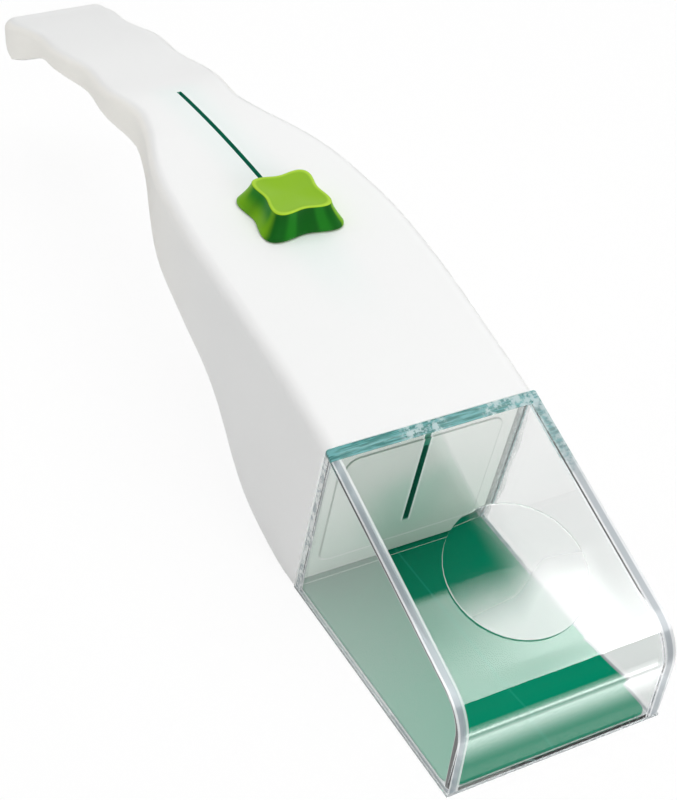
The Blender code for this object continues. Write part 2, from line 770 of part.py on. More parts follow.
def make_bulkhead():
    """White plate behind the clear rear wall, with a raised panel and a central slit."""
    half = HALF_WIDTH - HOUSING_WALL - SPIGOT_WALL - 2 * CLEARANCE
    low = MOUTH_HEIGHT + CLEARANCE
    lost = (HOUSING_WALL + SPIGOT_WALL + 2 * CLEARANCE) / panel_normal.y
    high = CHAMBER_HEIGHT - lost
    near = CLEARANCE + PANEL_RISE
    far = CLEARANCE + BULKHEAD_THICKNESS
    mesh = bmesh.new()
    outline = rounded_rectangle(half, low, high, PANEL_CORNER_RADIUS / 4)
    leaning_slab(mesh, outline, near, far)
    plate = add_object("front_bulkhead", mesh, "white_plastic")
    mesh = bmesh.new()
    panel = rounded_rectangle(
        half - PANEL_MARGIN, PANEL_FOOT, high - PANEL_MARGIN, PANEL_CORNER_RADIUS
    )
    leaning_slab(mesh, panel, CLEARANCE, far - CLEARANCE)
    raised = add_object("bulkhead_panel_core", mesh)
    mesh = bmesh.new()
    slit = rounded_rectangle(
        SLIT_WIDTH / 2, SLIT_FOOT, SLIT_FOOT + SLIT_HEIGHT, SLIT_WIDTH / 2 * FULL_ROUND_SHARE
    )
    leaning_slab(mesh, slit, -CLEARANCE, far + OVERRUN)
    slit_cutter = add_object("bulkhead_slit_cutter", mesh)
    combine(plate, "UNION", raised)
    combine(plate, "DIFFERENCE", slit_cutter)


def make_closing_sheet():
    """Flat part of the flexible sheet, lying on the rim's rails under the chamber."""
    front = FOOT + CHAMBER_WALL + CLEARANCE
    rear = REAR_FOOT + SHEET_TAIL
    half = SHEET_WIDTH / 2
    radius = SHEET_CORNER_RADIUS
    right, left = ((side * (half - radius), front + radius) for side in (1, -1))
    outline = arc(radius, CORNER_STEPS, right, -math.pi / 2, math.pi / 2)
    outline += [(half, rear), (-half, rear)]
    outline += arc(radius, CORNER_STEPS, left, math.pi, math.pi / 2)
    rings = [[(x, y, z) for x, y in outline] for z in (SHEET_BOTTOM, SHEET_TOP)]
    loft("closing_sheet", rings, "green_sheet", sheet_runner)


def thumb_point(along, out):
    """Point of the thumb slide's own frame, along the track and out from its surface."""
    high = TRACK_RADIUS + out
    cosine, sine = math.cos(button_angle), math.sin(button_angle)
    y = TRACK_CREST + along * cosine - high * sine
    z = TRACK_CENTRE_HEIGHT + along * sine + high * cosine
    return Vector((y, z))


def wall_drop():
    """Depth under the track where the slide's inner pieces may begin."""
    return HOUSING_WALL + CLEARANCE


def carriage_levels():
    """Depths of the carriage's top and bottom under the track's surface."""
    top = wall_drop() + STRIP_THICKNESS + 3 * CLEARANCE
    return top, top + CARRIAGE_THICKNESS


def sheet_path():
    """Middle line of the flexible sheet: out of the mouth, up a steep S, to the carriage."""
    start = Vector((REAR_FOOT + SHEET_TAIL + CLEARANCE, SHEET_MIDDLE))
    depth = carriage_levels()[1] + CLEARANCE + SHEET_THICKNESS / 2
    end_angle = button_angle
    radius = TONGUE_BEND_RADIUS
    rise_low = radius * (1 - math.cos(TONGUE_SLOPE))
    run_low = radius * math.sin(TONGUE_SLOPE)
    rise_high = radius * (math.cos(end_angle) - math.cos(TONGUE_SLOPE))
    run_high = radius * (math.sin(TONGUE_SLOPE) - math.sin(end_angle))
    lap_end = thumb_point(CARRIAGE_REAR, -depth)
    end_slope = math.tan(end_angle)
    # Where the straight flight must end, so that the upper bend meets the carriage's plane
    base_y, base_z = start.x + run_low, start.y + rise_low
    top_gap = lap_end.y - base_z - rise_high - end_slope * (lap_end.x - base_y - run_high)
    flight = top_gap / (math.sin(TONGUE_SLOPE) - end_slope * math.cos(TONGUE_SLOPE))
    points = []
    for step in range(PATH_STEPS + 1):
        angle = TONGUE_SLOPE * step / PATH_STEPS
        points.append(start + radius * Vector((math.sin(angle), 1 - math.cos(angle))))
    corner = points[-1] + flight * Vector((math.cos(TONGUE_SLOPE), math.sin(TONGUE_SLOPE)))
    for step in range(PATH_STEPS + 1):
        angle = TONGUE_SLOPE + (end_angle - TONGUE_SLOPE) * step / PATH_STEPS
        turn = Vector(
            (
                math.sin(TONGUE_SLOPE) - math.sin(angle),
                math.cos(angle) - math.cos(TONGUE_SLOPE),
            )
        )
        points.append(corner + radius * turn)
    return points, lap_end


def offset_line(points, distance):
    """The same line moved sideways, to its left, by a distance."""
    moved = []
    for index, point in enumerate(points):
        before, after = points[max(index - 1, 0)], points[min(index + 1, len(points) - 1)]
        along = (after - before).normalized()
        moved.append(point + distance * Vector((-along.y, along.x)))
    return moved


def make_tongue():
    """Flexible tongue that runs from the sheet's rear edge up to the carriage."""
    path, lap_end = sheet_path()
    path = path + [lap_end]
    upper = offset_line(path, SHEET_THICKNESS / 2)
    lower = offset_line(path, -SHEET_THICKNESS / 2)
    half = TONGUE_WIDTH / 2
    rings = []
    for high, low in zip(upper, lower):
        corners = ((half, low), (half, high), (-half, high), (-half, low))
        rings.append([(x, p.x, p.y) for x, p in corners])
    tongue = loft("sheet_tongue", rings, "green_sheet", thumb_pivot)
    combine(tongue, "DIFFERENCE", stud_hole_cutter("tongue_hole_cutter"))


def stud_hole_cutter(name):
    """Two holes square to the track, where the studs hold the tongue to the carriage."""
    mesh = bmesh.new()
    radius = STUD_DIAMETER / 2 + CLEARANCE
    low = carriage_levels()[1] + OVERRUN
    high = carriage_levels()[1] - STUD_DEPTH - CLEARANCE
    for sign in (-1, 1):
        stud_into(mesh, sign, [(radius, -low), (radius, -high)])
    return add_object(name, mesh)


def stud_into(mesh, sign, sections):
    """Adds a turned stud square to the track, through (radius, out) sections."""
    rings = []
    for radius, out in sections:
        ring = []
        for a, b in circle(radius, ROUND_STEPS, (sign * STUD_SPREAD / 2, STUD_PLACE)):
            at = thumb_point(b, out)
            ring.append((a, at.x, at.y))
        rings.append(ring)
    loft_into(mesh, rings)


def make_studs():
    """Headed studs pressed up through the tongue into the carriage."""
    bottom = carriage_levels()[1]
    under = bottom + 2 * CLEARANCE + SHEET_THICKNESS
    for name, sign in (("left_tongue_stud", -1), ("right_tongue_stud", 1)):
        mesh = bmesh.new()
        sections = [
            (STUD_HEAD_DIAMETER / 2 * HEAD_CROWN_SHARE, -under - STUD_HEAD),
            (STUD_HEAD_DIAMETER / 2, -under - STUD_HEAD / 2),
            (STUD_HEAD_DIAMETER / 2, -under),
            (STUD_DIAMETER / 2, -under),
            (STUD_DIAMETER / 2, -bottom + STUD_DEPTH),
        ]
        stud_into(mesh, sign, sections)
        add_object(name, mesh, "steel", thumb_pivot)


def make_sheet_track(side, sign):
    """Curved grooved track on one side of the housing, which the sheet's edge bends along."""
    path = sheet_path()[0]
    low_end, high_end = path[PATH_STEPS], path[PATH_STEPS + 1]
    flight = [low_end.lerp(high_end, k / FLIGHT_STEPS) for k in range(FLIGHT_STEPS + 1)]
    points = path[TRACK_FIRST_STEP:PATH_STEPS] + flight
    levels = (
        -GROOVE_HEIGHT / 2 - TRACK_FLANGE,
        -GROOVE_HEIGHT / 2,
        GROOVE_HEIGHT / 2,
        GROOVE_HEIGHT / 2 + TRACK_FLANGE,
    )
    low, groove_low, groove_high, high = (offset_line(points, d) for d in levels)
    mouth = INNER_HALF_WIDTH - TRACK_DEPTH + CLEARANCE
    groove = INNER_HALF_WIDTH
    rings = []
    for index in range(len(points)):
        ring = []
        for line, kind in (
            (low, "wall"),
            (low, "mouth"),
            (groove_low, "mouth"),
            (groove_low, "groove"),
            (groove_high, "groove"),
            (groove_high, "mouth"),
            (high, "mouth"),
            (high, "wall"),
        ):
            at = line[index]
            wall = half_width(at.x) - HOUSING_WALL - CLEARANCE
            x = {"wall": wall, "mouth": mouth, "groove": groove}[kind]
            ring.append((sign * x, at.x, at.y))
        rings.append(ring)
    loft(f"{side}_sheet_track", rings, "inner_plastic")


def lobed_ring(width, length):
    """Points of a round-cornered square with hollow sides, as (X, along) pairs."""
    points = []
    for k in range(BUTTON_STEPS):
        angle = 2 * math.pi * k / BUTTON_STEPS
        cosine, sine = math.cos(angle), math.sin(angle)
        square = (abs(cosine) ** SQUARE_POWER + abs(sine) ** SQUARE_POWER) ** (-1 / SQUARE_POWER)
        reach = square * (1 - LOBE_SHARE * (1 + math.cos(4 * angle)) / 2)
        points.append((reach * cosine, reach * sine))
    widest = max(a for a, b in points)
    return [(width / 2 * a / widest, length / 2 * b / widest) for a, b in points]


def make_button():
    """Lobed thumb button with flared sides, and the blade under it that fills the slot."""
    levels = [(BUTTON_WIDTH, BUTTON_LENGTH, CLEARANCE)]
    foot = CLEARANCE + BUTTON_RIM
    for step in range(BUTTON_RINGS + 1):
        share = step / BUTTON_RINGS
        flare = (1 - share) ** FLARE_POWER
        levels.append(
            (
                BUTTON_TOP_WIDTH + (BUTTON_WIDTH - BUTTON_TOP_WIDTH) * flare,
                BUTTON_TOP_LENGTH + (BUTTON_LENGTH - BUTTON_TOP_LENGTH) * flare,
                foot + (BUTTON_HEIGHT - foot) * share,
            )
        )
    crown = 2 * BUTTON_RIM
    levels.append((BUTTON_TOP_WIDTH - crown, BUTTON_TOP_LENGTH - crown, BUTTON_HEIGHT + crown / 4))
    dish = BUTTON_HEIGHT + crown / 4 - BUTTON_DISH
    levels.append((BUTTON_TOP_WIDTH / 2, BUTTON_TOP_LENGTH / 2, dish))
    rings = []
    for width, length, out in levels:
        ring = []
        for a, b in lobed_ring(width, length):
            at = thumb_point(b, out)
            ring.append((a, at.x, at.y))
        rings.append(ring)
    button = loft("thumb_button", rings, "lime_plastic", thumb_pivot)
    half = SLOT_WIDTH / 2 - CLEARANCE
    depth = carriage_levels()[1] - CLEARANCE
    mesh = bmesh.new()
    loft_into(mesh, [thumb_box_ring(half, out) for out in (-depth, BUTTON_RIM + CLEARANCE)])
    blade = add_object("button_blade_core", mesh, parent=thumb_pivot)
    mesh = bmesh.new()
    pin_into(mesh, PIN_DIAMETER / 2 + CLEARANCE / 2, SLOT_WIDTH)
    hole = add_object("blade_hole_cutter", mesh)
    combine(button, "UNION", blade)
    combine(button, "DIFFERENCE", hole)


def thumb_box_ring(half, out, front=None, rear=None):
    """Rectangle square to the track, at a distance out from its surface."""
    front = BLADE_LENGTH / 2 if front is None else front
    rear = BLADE_LENGTH / 2 if rear is None else rear
    ring = []
    for x, along in ((half, -front), (half, rear), (-half, rear), (-half, -front)):
        at = thumb_point(along, out)
        ring.append((x, at.x, at.y))
    return ring


def pin_into(mesh, radius, half_length):
    """Adds a cross pin through the blade and the carriage."""
    top, bottom = carriage_levels()
    middle = -(top + bottom) / 2
    rings = []
    for x in (-half_length, half_length):
        ring = []
        for a, b in circle(radius, ROUND_STEPS):
            at = thumb_point(a, middle + b)
            ring.append((x, at.x, at.y))
        rings.append(ring)
    loft_into(mesh, rings)


def make_button_pin():
    mesh = bmesh.new()
    pin_into(mesh, PIN_DIAMETER / 2, PIN_LENGTH / 2)
    add_object("button_pin", mesh, "steel", thumb_pivot)


def make_carriage():
    """Carriage under the track: it takes the blade, its pin, and the tongue's studs."""
    top, bottom = carriage_levels()
    half = CARRIAGE_WIDTH / 2
    rings = [thumb_box_ring(half, out, CARRIAGE_FRONT, CARRIAGE_REAR) for out in (-bottom, -top)]
    carriage = loft("slide_carriage", rings, "green_plastic", thumb_pivot)
    mesh = bmesh.new()
    gap = BLADE_LENGTH / 2 + CLEARANCE
    ends = (-bottom - OVERRUN, -top + OVERRUN)
    loft_into(mesh, [thumb_box_ring(SLOT_WIDTH / 2, out, gap, gap) for out in ends])
    blade_slot = add_object("carriage_slot_cutter", mesh)
    mesh = bmesh.new()
    pin_into(mesh, PIN_DIAMETER / 2 + CLEARANCE / 2, half + OVERRUN)
    pin_hole = add_object("carriage_pin_cutter", mesh)
    combine(carriage, "DIFFERENCE", blade_slot)
    combine(carriage, "DIFFERENCE", pin_hole)
    combine(carriage, "DIFFERENCE", stud_hole_cutter("carriage_stud_cutter"))


def make_slot_strip():
    """Flexible strip under the slot: it keeps the slot covered wherever the button stands."""
    front = BUTTON_PLACE - STRIP_LEAD
    rear = BUTTON_PLACE + STRIP_REACH
    half = STRIP_WIDTH / 2
    rings = []
    for place in stations(front, rear, STRIP_STATIONS):
        high = top_height(place) - wall_drop() / math.cos(math.atan(JOINT_SLOPE_SHARE))
        low = high - STRIP_THICKNESS
        corners = ((half, low), (half, high), (-half, high), (-half, low))
        rings.append([(x, place, z) for x, z in corners])
    strip = loft("slot_cover_strip", rings, "green_plastic", thumb_pivot)
    mesh = bmesh.new()
    gap = BLADE_LENGTH / 2 + CLEARANCE
    ends = (-carriage_levels()[0] - CLEARANCE, OVERRUN)
    loft_into(mesh, [thumb_box_ring(SLOT_WIDTH / 2, out, gap, gap) for out in ends])
    combine(strip, "DIFFERENCE", add_object("strip_slot_cutter", mesh))


make_chamber()
make_lens()
make_guide_frame()
make_bulkhead()
make_shell()
make_base()
make_screws()
for track_side, track_sign in (("left", -1), ("right", 1)):
    make_sheet_track(track_side, track_sign)
make_closing_sheet()
make_tongue()
make_studs()
make_button()
make_button_pin()
make_carriage()
make_slot_strip()
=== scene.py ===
"""Looks of the live catcher: clear chamber, white housing, lime button and green sheet."""

import json
import math

import bmesh
import bpy
from mathutils import Matrix, Vector

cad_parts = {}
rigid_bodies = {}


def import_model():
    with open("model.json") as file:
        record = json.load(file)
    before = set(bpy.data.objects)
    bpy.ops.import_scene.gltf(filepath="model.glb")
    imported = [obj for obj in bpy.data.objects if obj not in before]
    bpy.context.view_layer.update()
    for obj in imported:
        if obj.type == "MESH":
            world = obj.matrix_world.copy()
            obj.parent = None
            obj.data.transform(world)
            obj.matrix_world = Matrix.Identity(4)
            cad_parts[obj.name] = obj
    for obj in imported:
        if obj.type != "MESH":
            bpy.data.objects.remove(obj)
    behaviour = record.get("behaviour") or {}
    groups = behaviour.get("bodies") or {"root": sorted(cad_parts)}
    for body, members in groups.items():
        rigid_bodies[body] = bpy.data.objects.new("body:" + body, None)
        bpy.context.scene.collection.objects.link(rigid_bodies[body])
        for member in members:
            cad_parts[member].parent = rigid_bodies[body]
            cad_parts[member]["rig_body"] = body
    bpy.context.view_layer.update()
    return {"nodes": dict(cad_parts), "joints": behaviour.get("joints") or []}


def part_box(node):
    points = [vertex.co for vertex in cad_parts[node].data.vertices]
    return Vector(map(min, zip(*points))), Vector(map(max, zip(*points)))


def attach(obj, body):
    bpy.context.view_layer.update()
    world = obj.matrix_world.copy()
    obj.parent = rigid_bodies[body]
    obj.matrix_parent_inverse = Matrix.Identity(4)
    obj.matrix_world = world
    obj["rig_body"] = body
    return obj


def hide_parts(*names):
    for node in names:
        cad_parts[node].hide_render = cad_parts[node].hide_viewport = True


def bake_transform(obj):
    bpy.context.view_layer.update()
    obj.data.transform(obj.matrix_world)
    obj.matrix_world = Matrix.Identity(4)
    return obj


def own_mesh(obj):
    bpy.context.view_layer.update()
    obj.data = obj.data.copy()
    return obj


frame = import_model()
nodes = frame["nodes"]

MM = 0.001

# Camera: its place, its turn and its lens for a picture of 677 by 800
CAMERA_PLACE = Vector((-218.3, -452.2, 360.3)) * MM
CAMERA_AZIMUTH = math.radians(-29.337)
CAMERA_ELEVATION = math.radians(36.260)
CAMERA_ROLL = math.radians(2.878)
CAMERA_LENS = 77.82

# Places read from the frame
chamber_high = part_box("catch_chamber")[1]
sheet_low, sheet_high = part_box("closing_sheet")
shell_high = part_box("housing_shell")[1]
button_low, button_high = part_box("thumb_button")
lens_low, lens_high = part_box("magnifier_lens")
bulkhead_low, bulkhead_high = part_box("front_bulkhead")

# Sizes shared with the solids
WALL = 3.0 * MM
REAR_LEAN = 15.6 * MM
PANEL_SLOPE = math.radians(21.91)
SLOT_WIDTH = 1.6 * MM
BLADE_LENGTH = 12.0 * MM
TRAVEL = 82.0 * MM
SHEET_TAIL = 2.6 * MM
REAR_FOOT = sheet_high[1] - SHEET_TAIL
REAR_TOP = REAR_FOOT - REAR_LEAN
BUTTON_PLACE = (button_low[1] + button_high[1]) / 2
SLOT_FRONT = BUTTON_PLACE - BLADE_LENGTH / 2
SLOT_REAR = SLOT_FRONT + BLADE_LENGTH + TRAVEL

# Thumb slide's track: centre and radius of its arc, and how far the closed slide leans
THUMB_PIVOT = next(joint["pos_m"] for joint in frame["joints"] if joint["name"] == "thumb_slide")
TRACK_RADIUS = 590.0 * MM
THUMB_LEAN = math.asin(57.9 * MM / TRACK_RADIUS)

# Button
BUTTON_WIDTH = 28.0 * MM
BUTTON_LENGTH = 27.2 * MM
BUTTON_TOP_WIDTH = 20.4 * MM
BUTTON_TOP_LENGTH = 21.3 * MM
BUTTON_FOOT = 0.3 * MM
BUTTON_RIM = 0.6 * MM
BUTTON_HEIGHT = 8.0 * MM
BUTTON_CROWN = 0.6 * MM
BUTTON_DISH = 0.6 * MM
BUTTON_FLARE = 1.35
BUTTON_SQUARENESS = 5.0
BUTTON_LOBE_SHARE = 0.135
BLADE_WIDTH = SLOT_WIDTH - 0.6 * MM
BLADE_DEPTH = 6.9 * MM
PIN_HOLE = 1.9 * MM
PIN_DEPTH = 5.7 * MM
BUTTON_GRAIN = 0.04 * MM

# Rows of the button's skin, from the middle of its underside to the middle of its top
BUTTON_STEPS = 128
UNDER_ROWS = 1
RIM_ROWS = 1
FLARE_ROWS = 12
CROWN_ROWS = 4
DISH_ROWS = 6

# Screws and studs: sizes, and the outline of a head in shares of its radius and of its height,
# from its outer end to its seat
SCREW_DIAMETER = 2.5 * MM
SCREW_HEAD_DIAMETER = 4.2 * MM
SCREW_HEAD = 1.4 * MM
SCREW_POINT_SHARE = 0.33
RECESS_WIDTH = 2.3 * MM
RECESS_DEPTH = 0.8 * MM
RECESS_THIN_SHARE = 0.24
STUD_DIAMETER = 2.4 * MM
STUD_HEAD_DIAMETER = 4.4 * MM
STUD_HEAD = 0.8 * MM
STUD_POINT_SHARE = 0.85
STUD_PLACE = 13.0 * MM
STUD_SEAT = 8.4 * MM
STUD_LENGTH = 3.6 * MM
HEAD_SHARES = ((0.55, 1.0), (0.72, 0.95), (0.87, 0.84), (0.96, 0.70), (1.0, 0.50), (1.0, 0.0))

# Meshes: steps round a turned piece, what is welded together, and the angle that stays an edge
ROUND_STEPS = 24
WELD = 0.001 * MM
SHARP_ANGLE = math.radians(40.0)

# Shading of welded copies: what counts as flat, as small beside a large patch, and as nothing
FLAT_COSINE = math.cos(math.radians(0.2))
SMALL_PATCH = 4.0
SLIVER_AREA = 1e-14

# Below, a pair of places is a range over which a tint or a light comes or goes

# Housing: painted light on its flanks, a painted green glow of the strip beside the slot, and painted
# green shade in the slot and the mouth
LIT_FLANK_ALONG = (-60.0 * MM, 60.0 * MM)
LIT_FLANK_FACING = (0.4, 0.9)
STRIP_GLOW_ACROSS = (2.0 * MM, 14.0 * MM)
STRIP_GLOW_START = (SLOT_FRONT - 70.0 * MM, SLOT_FRONT)
STRIP_GLOW_END = (SLOT_REAR, SLOT_REAR + 12.0 * MM)
TOP_RISE = (shell_high[2] - 14.0 * MM, shell_high[2] - 6.0 * MM)
SLOT_SIDE = (SLOT_WIDTH / 2, SLOT_WIDTH / 2 + 0.04 * MM)
SLOT_START = (SLOT_FRONT - 0.8 * MM, SLOT_FRONT - 0.4 * MM)
SLOT_END = (SLOT_REAR + 0.6 * MM, SLOT_REAR + 0.7 * MM)
MOUTH_SIDE = (33.0 * MM, 33.3 * MM)
MOUTH_REAR = (-56.0 * MM, -52.0 * MM)
MOUTH_FLOOR = (1.9 * MM, 2.1 * MM)
MOUTH_CEILING = (16.0 * MM, 18.0 * MM)
MOUTH_FACING = (-0.3, -0.1)
STRIP_GLOW_SHARE = 0.14
HOUSING_GRAIN = 0.05 * MM

# Bulkhead: its raised panel's outline painted as shade and, bolder at the foot, as highlight, the slit in
# painted green shade between painted highlights, and painted green light of the film
RAISED_MARGIN = 4.5 * MM
RAISED_FOOT = 6.8 * MM
RAISED_CORNER = 4.0 * MM
SLIT_WIDTH = 2.0 * MM
SLIT_FOOT = 18.0 * MM
SLIT_SIDE = (SLIT_WIDTH / 2, SLIT_WIDTH / 2 + 0.05 * MM)
SLIT_START = (SLIT_FOOT - 1.0 * MM, SLIT_FOOT)
LIP_PLACE = SLIT_WIDTH / 2 + 0.4 * MM
LIP_WIDTH = (0.25 * MM, 0.45 * MM)
LIP_START = (SLIT_FOOT - 2.0 * MM, SLIT_FOOT)
PLATE_PALING = (4.0 * MM, 48.0 * MM)
GLOW_ACROSS = (3.0 * MM, 20.0 * MM)
GLOW_HEIGHT = 24.0 * MM
GLOW_UPWARD = (6.0 * MM, 22.0 * MM)
OUTLINE_WIDTH = (0.10 * MM, 0.28 * MM)
OUTLINE_FOOT = (10.0 * MM, 14.0 * MM)
OUTLINE_BOLDER = 0.30 * MM
OUTLINE_SHARES = (0.6, 1.0)
GLOW_SHARE = 0.6
LIP_SHARE = 0.8

# Chamber: its teal band at the rear top, its walls' edges, its wavy rear edge and their colours, painted
# light that the clear edges bend and mirror
TEAL_BAND = 4.2 * MM
BAND_END = (TEAL_BAND - 0.2 * MM, TEAL_BAND)
FACE_DEPTH = (0.5 * MM, 1.2 * MM)
WALL_INSET = (0.3 * MM, 0.6 * MM)
WALL_END = (WALL - 0.1 * MM, WALL + 0.1 * MM)
OUTER_BORDER = (0.30 * MM, 0.50 * MM)
INNER_BORDER = (WALL - 0.8 * MM, WALL - 0.6 * MM)
RIGHT_HALF = (0.0, 1.0 * MM)
SIDE_FACING = (0.5, 0.7)
REAR_EDGE = (-3.0 * MM, -2.4 * MM)
REAR_WAVE = 5.0 * MM
TEAL_DOWN = (16.0 * MM, 34.0 * MM)
TEAL_RAGGED = 20.0 * MM
FLECKED_RIGHT = (14.0 * MM, 17.0 * MM)
FLECKED_MIDDLE = -4.0 * MM
FLECKED_REACH = (5.0 * MM, 9.0 * MM)
# Painted greys of light through the chamber's edges, and their painted highlight
EDGE_GREY = (0.36, 0.42, 0.45)
EDGE_HIGHLIGHT = (0.93, 0.95, 0.96)

# Shares of the painted layer over the chamber's edges, on the left and on the right, and how strongly
# they are tinted
TOP_PAINTED_SHARE = 0.85
WALL_PAINTED_SHARES = (0.62, 0.78)
REAR_PAINTED_SHARES = (0.5, 0.3)
TEAL_SHARE = 0.8
BORDER_SHARE = 0.8

# Lens: where its whitish layer fades out towards the rear and the left, and how strong it gets
LENS_LENGTH = lens_high[1] - lens_low[1]
WHITISH_ALONG = (lens_low[1] + LENS_LENGTH * 0.08, lens_low[1] + LENS_LENGTH * 0.58)
WHITISH_ACROSS = (-7.0 * MM, 9.0 * MM)
WHITISH_BESIDE = 0.5
WHITISH_SHARE = 0.42

# Film: its crease, and its painted shade on the left side and painted light in front
CREASE_WIDTH = (0.20 * MM, 0.45 * MM)
CREASE_SHARE = 0.45
FILM_ACROSS = (-24.0 * MM, 24.0 * MM)
FILM_ALONG = (sheet_low[1] + 8.0 * MM, sheet_low[1] + 60.0 * MM)

# Studio sky: its level, its mirror image, what glass lets through, and the glow from the left
SKY_LEVEL = 0.42
SKY_MIRRORED = 0.02
SKY_BEHIND_GLASS = 0.10
SKY_RISE = (0.15, 0.35)
TRAPPED_SHARE = 0.98
ONCE_REFLECTED = (0.4, 0.6)
LEFT_GLOW = 0.3
LEFT_GLOW_EDGE = (-0.3, 0.1)

# Light panels overhead: their levels, and their edges as shares of their height, read along Y or
# along a slant across it, and then as parts of a direction
FLATTEST = 0.05
SLANT = 0.28
REAR_LIGHT = 2.5
REAR_LIGHT_EDGE = (0.497, 0.512)
REAR_LIGHT_START = (-0.034, -0.026)
FRONT_LIGHT = (5.6, 10.6)
FRONT_LIGHT_EDGE = (0.42, 0.53)
DIM_EDGE = (0.540, 0.565)
DIM_START = (-0.14, -0.10)
DIM_SHARE = 0.7
NEAR_LIGHT = 4.2
NEAR_LIGHT_END = (-0.09, -0.04)
LIGHTS_START = (-1.42, -1.36)
LIGHTS_RISE = (0.30, 0.34)
LIGHTS_LEFT = (-0.2, -0.1)

# Studio floor: its size and level, its glow, and the glare in front of the catcher
FLOOR_HALF = 6.0
FLOOR_LEVEL = -0.5 * MM
FLOOR_GLOW = 0.90
FLOOR_MIRRORED = 0.30
FLOOR_DIMMED = 0.12
FLOOR_GLARE = 5.0
GLARE_PLACE = -212.5 * MM
GLARE_REACH = 20.0 * MM
GLARE_FADE = (0.9, 1.5)
GLARE_DEPTH = 11.0 * MM
LEFT_OF_WALL = (-37.0 * MM, -36.0 * MM)
LEFT_FADE = (-150.0 * MM, -70.0 * MM)
LEFT_LEVELS = (1.05, 0.45)
FRONT_FACE = (-201.0 * MM, -199.0 * MM)

# Lamps: name, place and target in metres, width and length, and power
LAMPS = (
    ("overhead_softbox", (0.25, 0.10, 1.5), (0.0, 0.0, 0.05), (1.4, 1.4), 11.8),
    ("left_softbox", (-0.8, 0.45, 1.0), (0.0, 0.15, 0.05), (0.7, 0.7), 1.8),
    ("front_softbox", (0.1, -1.3, 0.45), (0.0, -0.1, 0.04), (0.8, 0.5), 4.5),
)


class Wire:
    """A shader socket that sums, products and powers can be written with."""

    def __init__(self, tree, socket):
        self.tree = tree
        self.socket = socket

    def _math(self, operation, first, second=0.0):
        settings = {"operation": operation}
        return self.tree.node("ShaderNodeMath", settings, {0: first, 1: second})

    def __add__(self, other):
        return self._math("ADD", self, other)

    __radd__ = __add__

    def __sub__(self, other):
        return self._math("SUBTRACT", self, other)

    def __rsub__(self, other):
        return self._math("SUBTRACT", other, self)

    def __neg__(self):
        return 0.0 - self

    def __mul__(self, other):
        return self._math("MULTIPLY", self, other)

    __rmul__ = __mul__

    def __truediv__(self, other):
        return self._math("DIVIDE", self, other)

    def __rtruediv__(self, other):
        return self._math("DIVIDE", other, self)

    def __pow__(self, other):
        return self._math("POWER", self, other)

    def __abs__(self):
        return self._math("ABSOLUTE", self)

    def cosine(self):
        return self._math("COSINE", self)

    def sine(self):
        return self._math("SINE", self)

    def larger(self, other):
        return self._math("MAXIMUM", self, other)

    def within(self, low, high):
        """The value, held between two others."""
        return self._math("MINIMUM", self.larger(low), high)

    def between(self, first, last):
        """The first value where this one is 0, the last where it is 1, even between."""
        return self * (last - first) + first

    def ramp(self, low, high):
        """0 at the low value, 1 at the high one, smooth between."""
        sockets = {"Value": self, "From Min": low, "From Max": high, "To Min": 0.0, "To Max": 1.0}
        return self.tree.node("ShaderNodeMapRange", {"interpolation_type": "SMOOTHSTEP"}, sockets)

    def fall(self, low, high):
        """1 at the low value, 0 at the high one, smooth between."""
        return 1 - self.ramp(low, high)


class Nodes:
    """A node tree, with one way to add a node of any kind."""

    def __init__(self, tree):
        self.tree = tree

    def node(self, kind, settings=None, sockets=None, output=0):
        """Adds a node, sets its settings, then fills or links its sockets."""
        made = self.tree.nodes.new(kind)
        for key, value in (settings or {}).items():
            setattr(made, key, value)
        for key, value in (sockets or {}).items():
            if isinstance(value, Wire):
                self.tree.links.new(value.socket, made.inputs[key])
            else:
                made.inputs[key].default_value = value
        return Wire(self, made.outputs[output])

    def parts(self, vector):
        """X, Y and Z of a vector."""
        split = self.node("ShaderNodeSeparateXYZ", {}, {0: vector})
        return tuple(Wire(self, split.socket.node.outputs[axis]) for axis in "XYZ")

    def rays(self, *kinds):
        """1 for rays of the named kinds, 0 for others."""
        first, *others = (self.node("ShaderNodeLightPath", output=f"Is {kind} Ray") for kind in kinds)
        for other in others:
            first = first.larger(other)
        return first

    def reflected_rays(self):
        """1 for rays that a surface sends back, 0 for those that come through one."""
        return self.rays("Glossy") * (1 - self.rays("Transmission"))

    def once_reflected(self):
        """1 for rays that were reflected before, also inside clear plastic."""
        return self.node("ShaderNodeLightPath", output="Glossy Depth").ramp(*ONCE_REFLECTED)


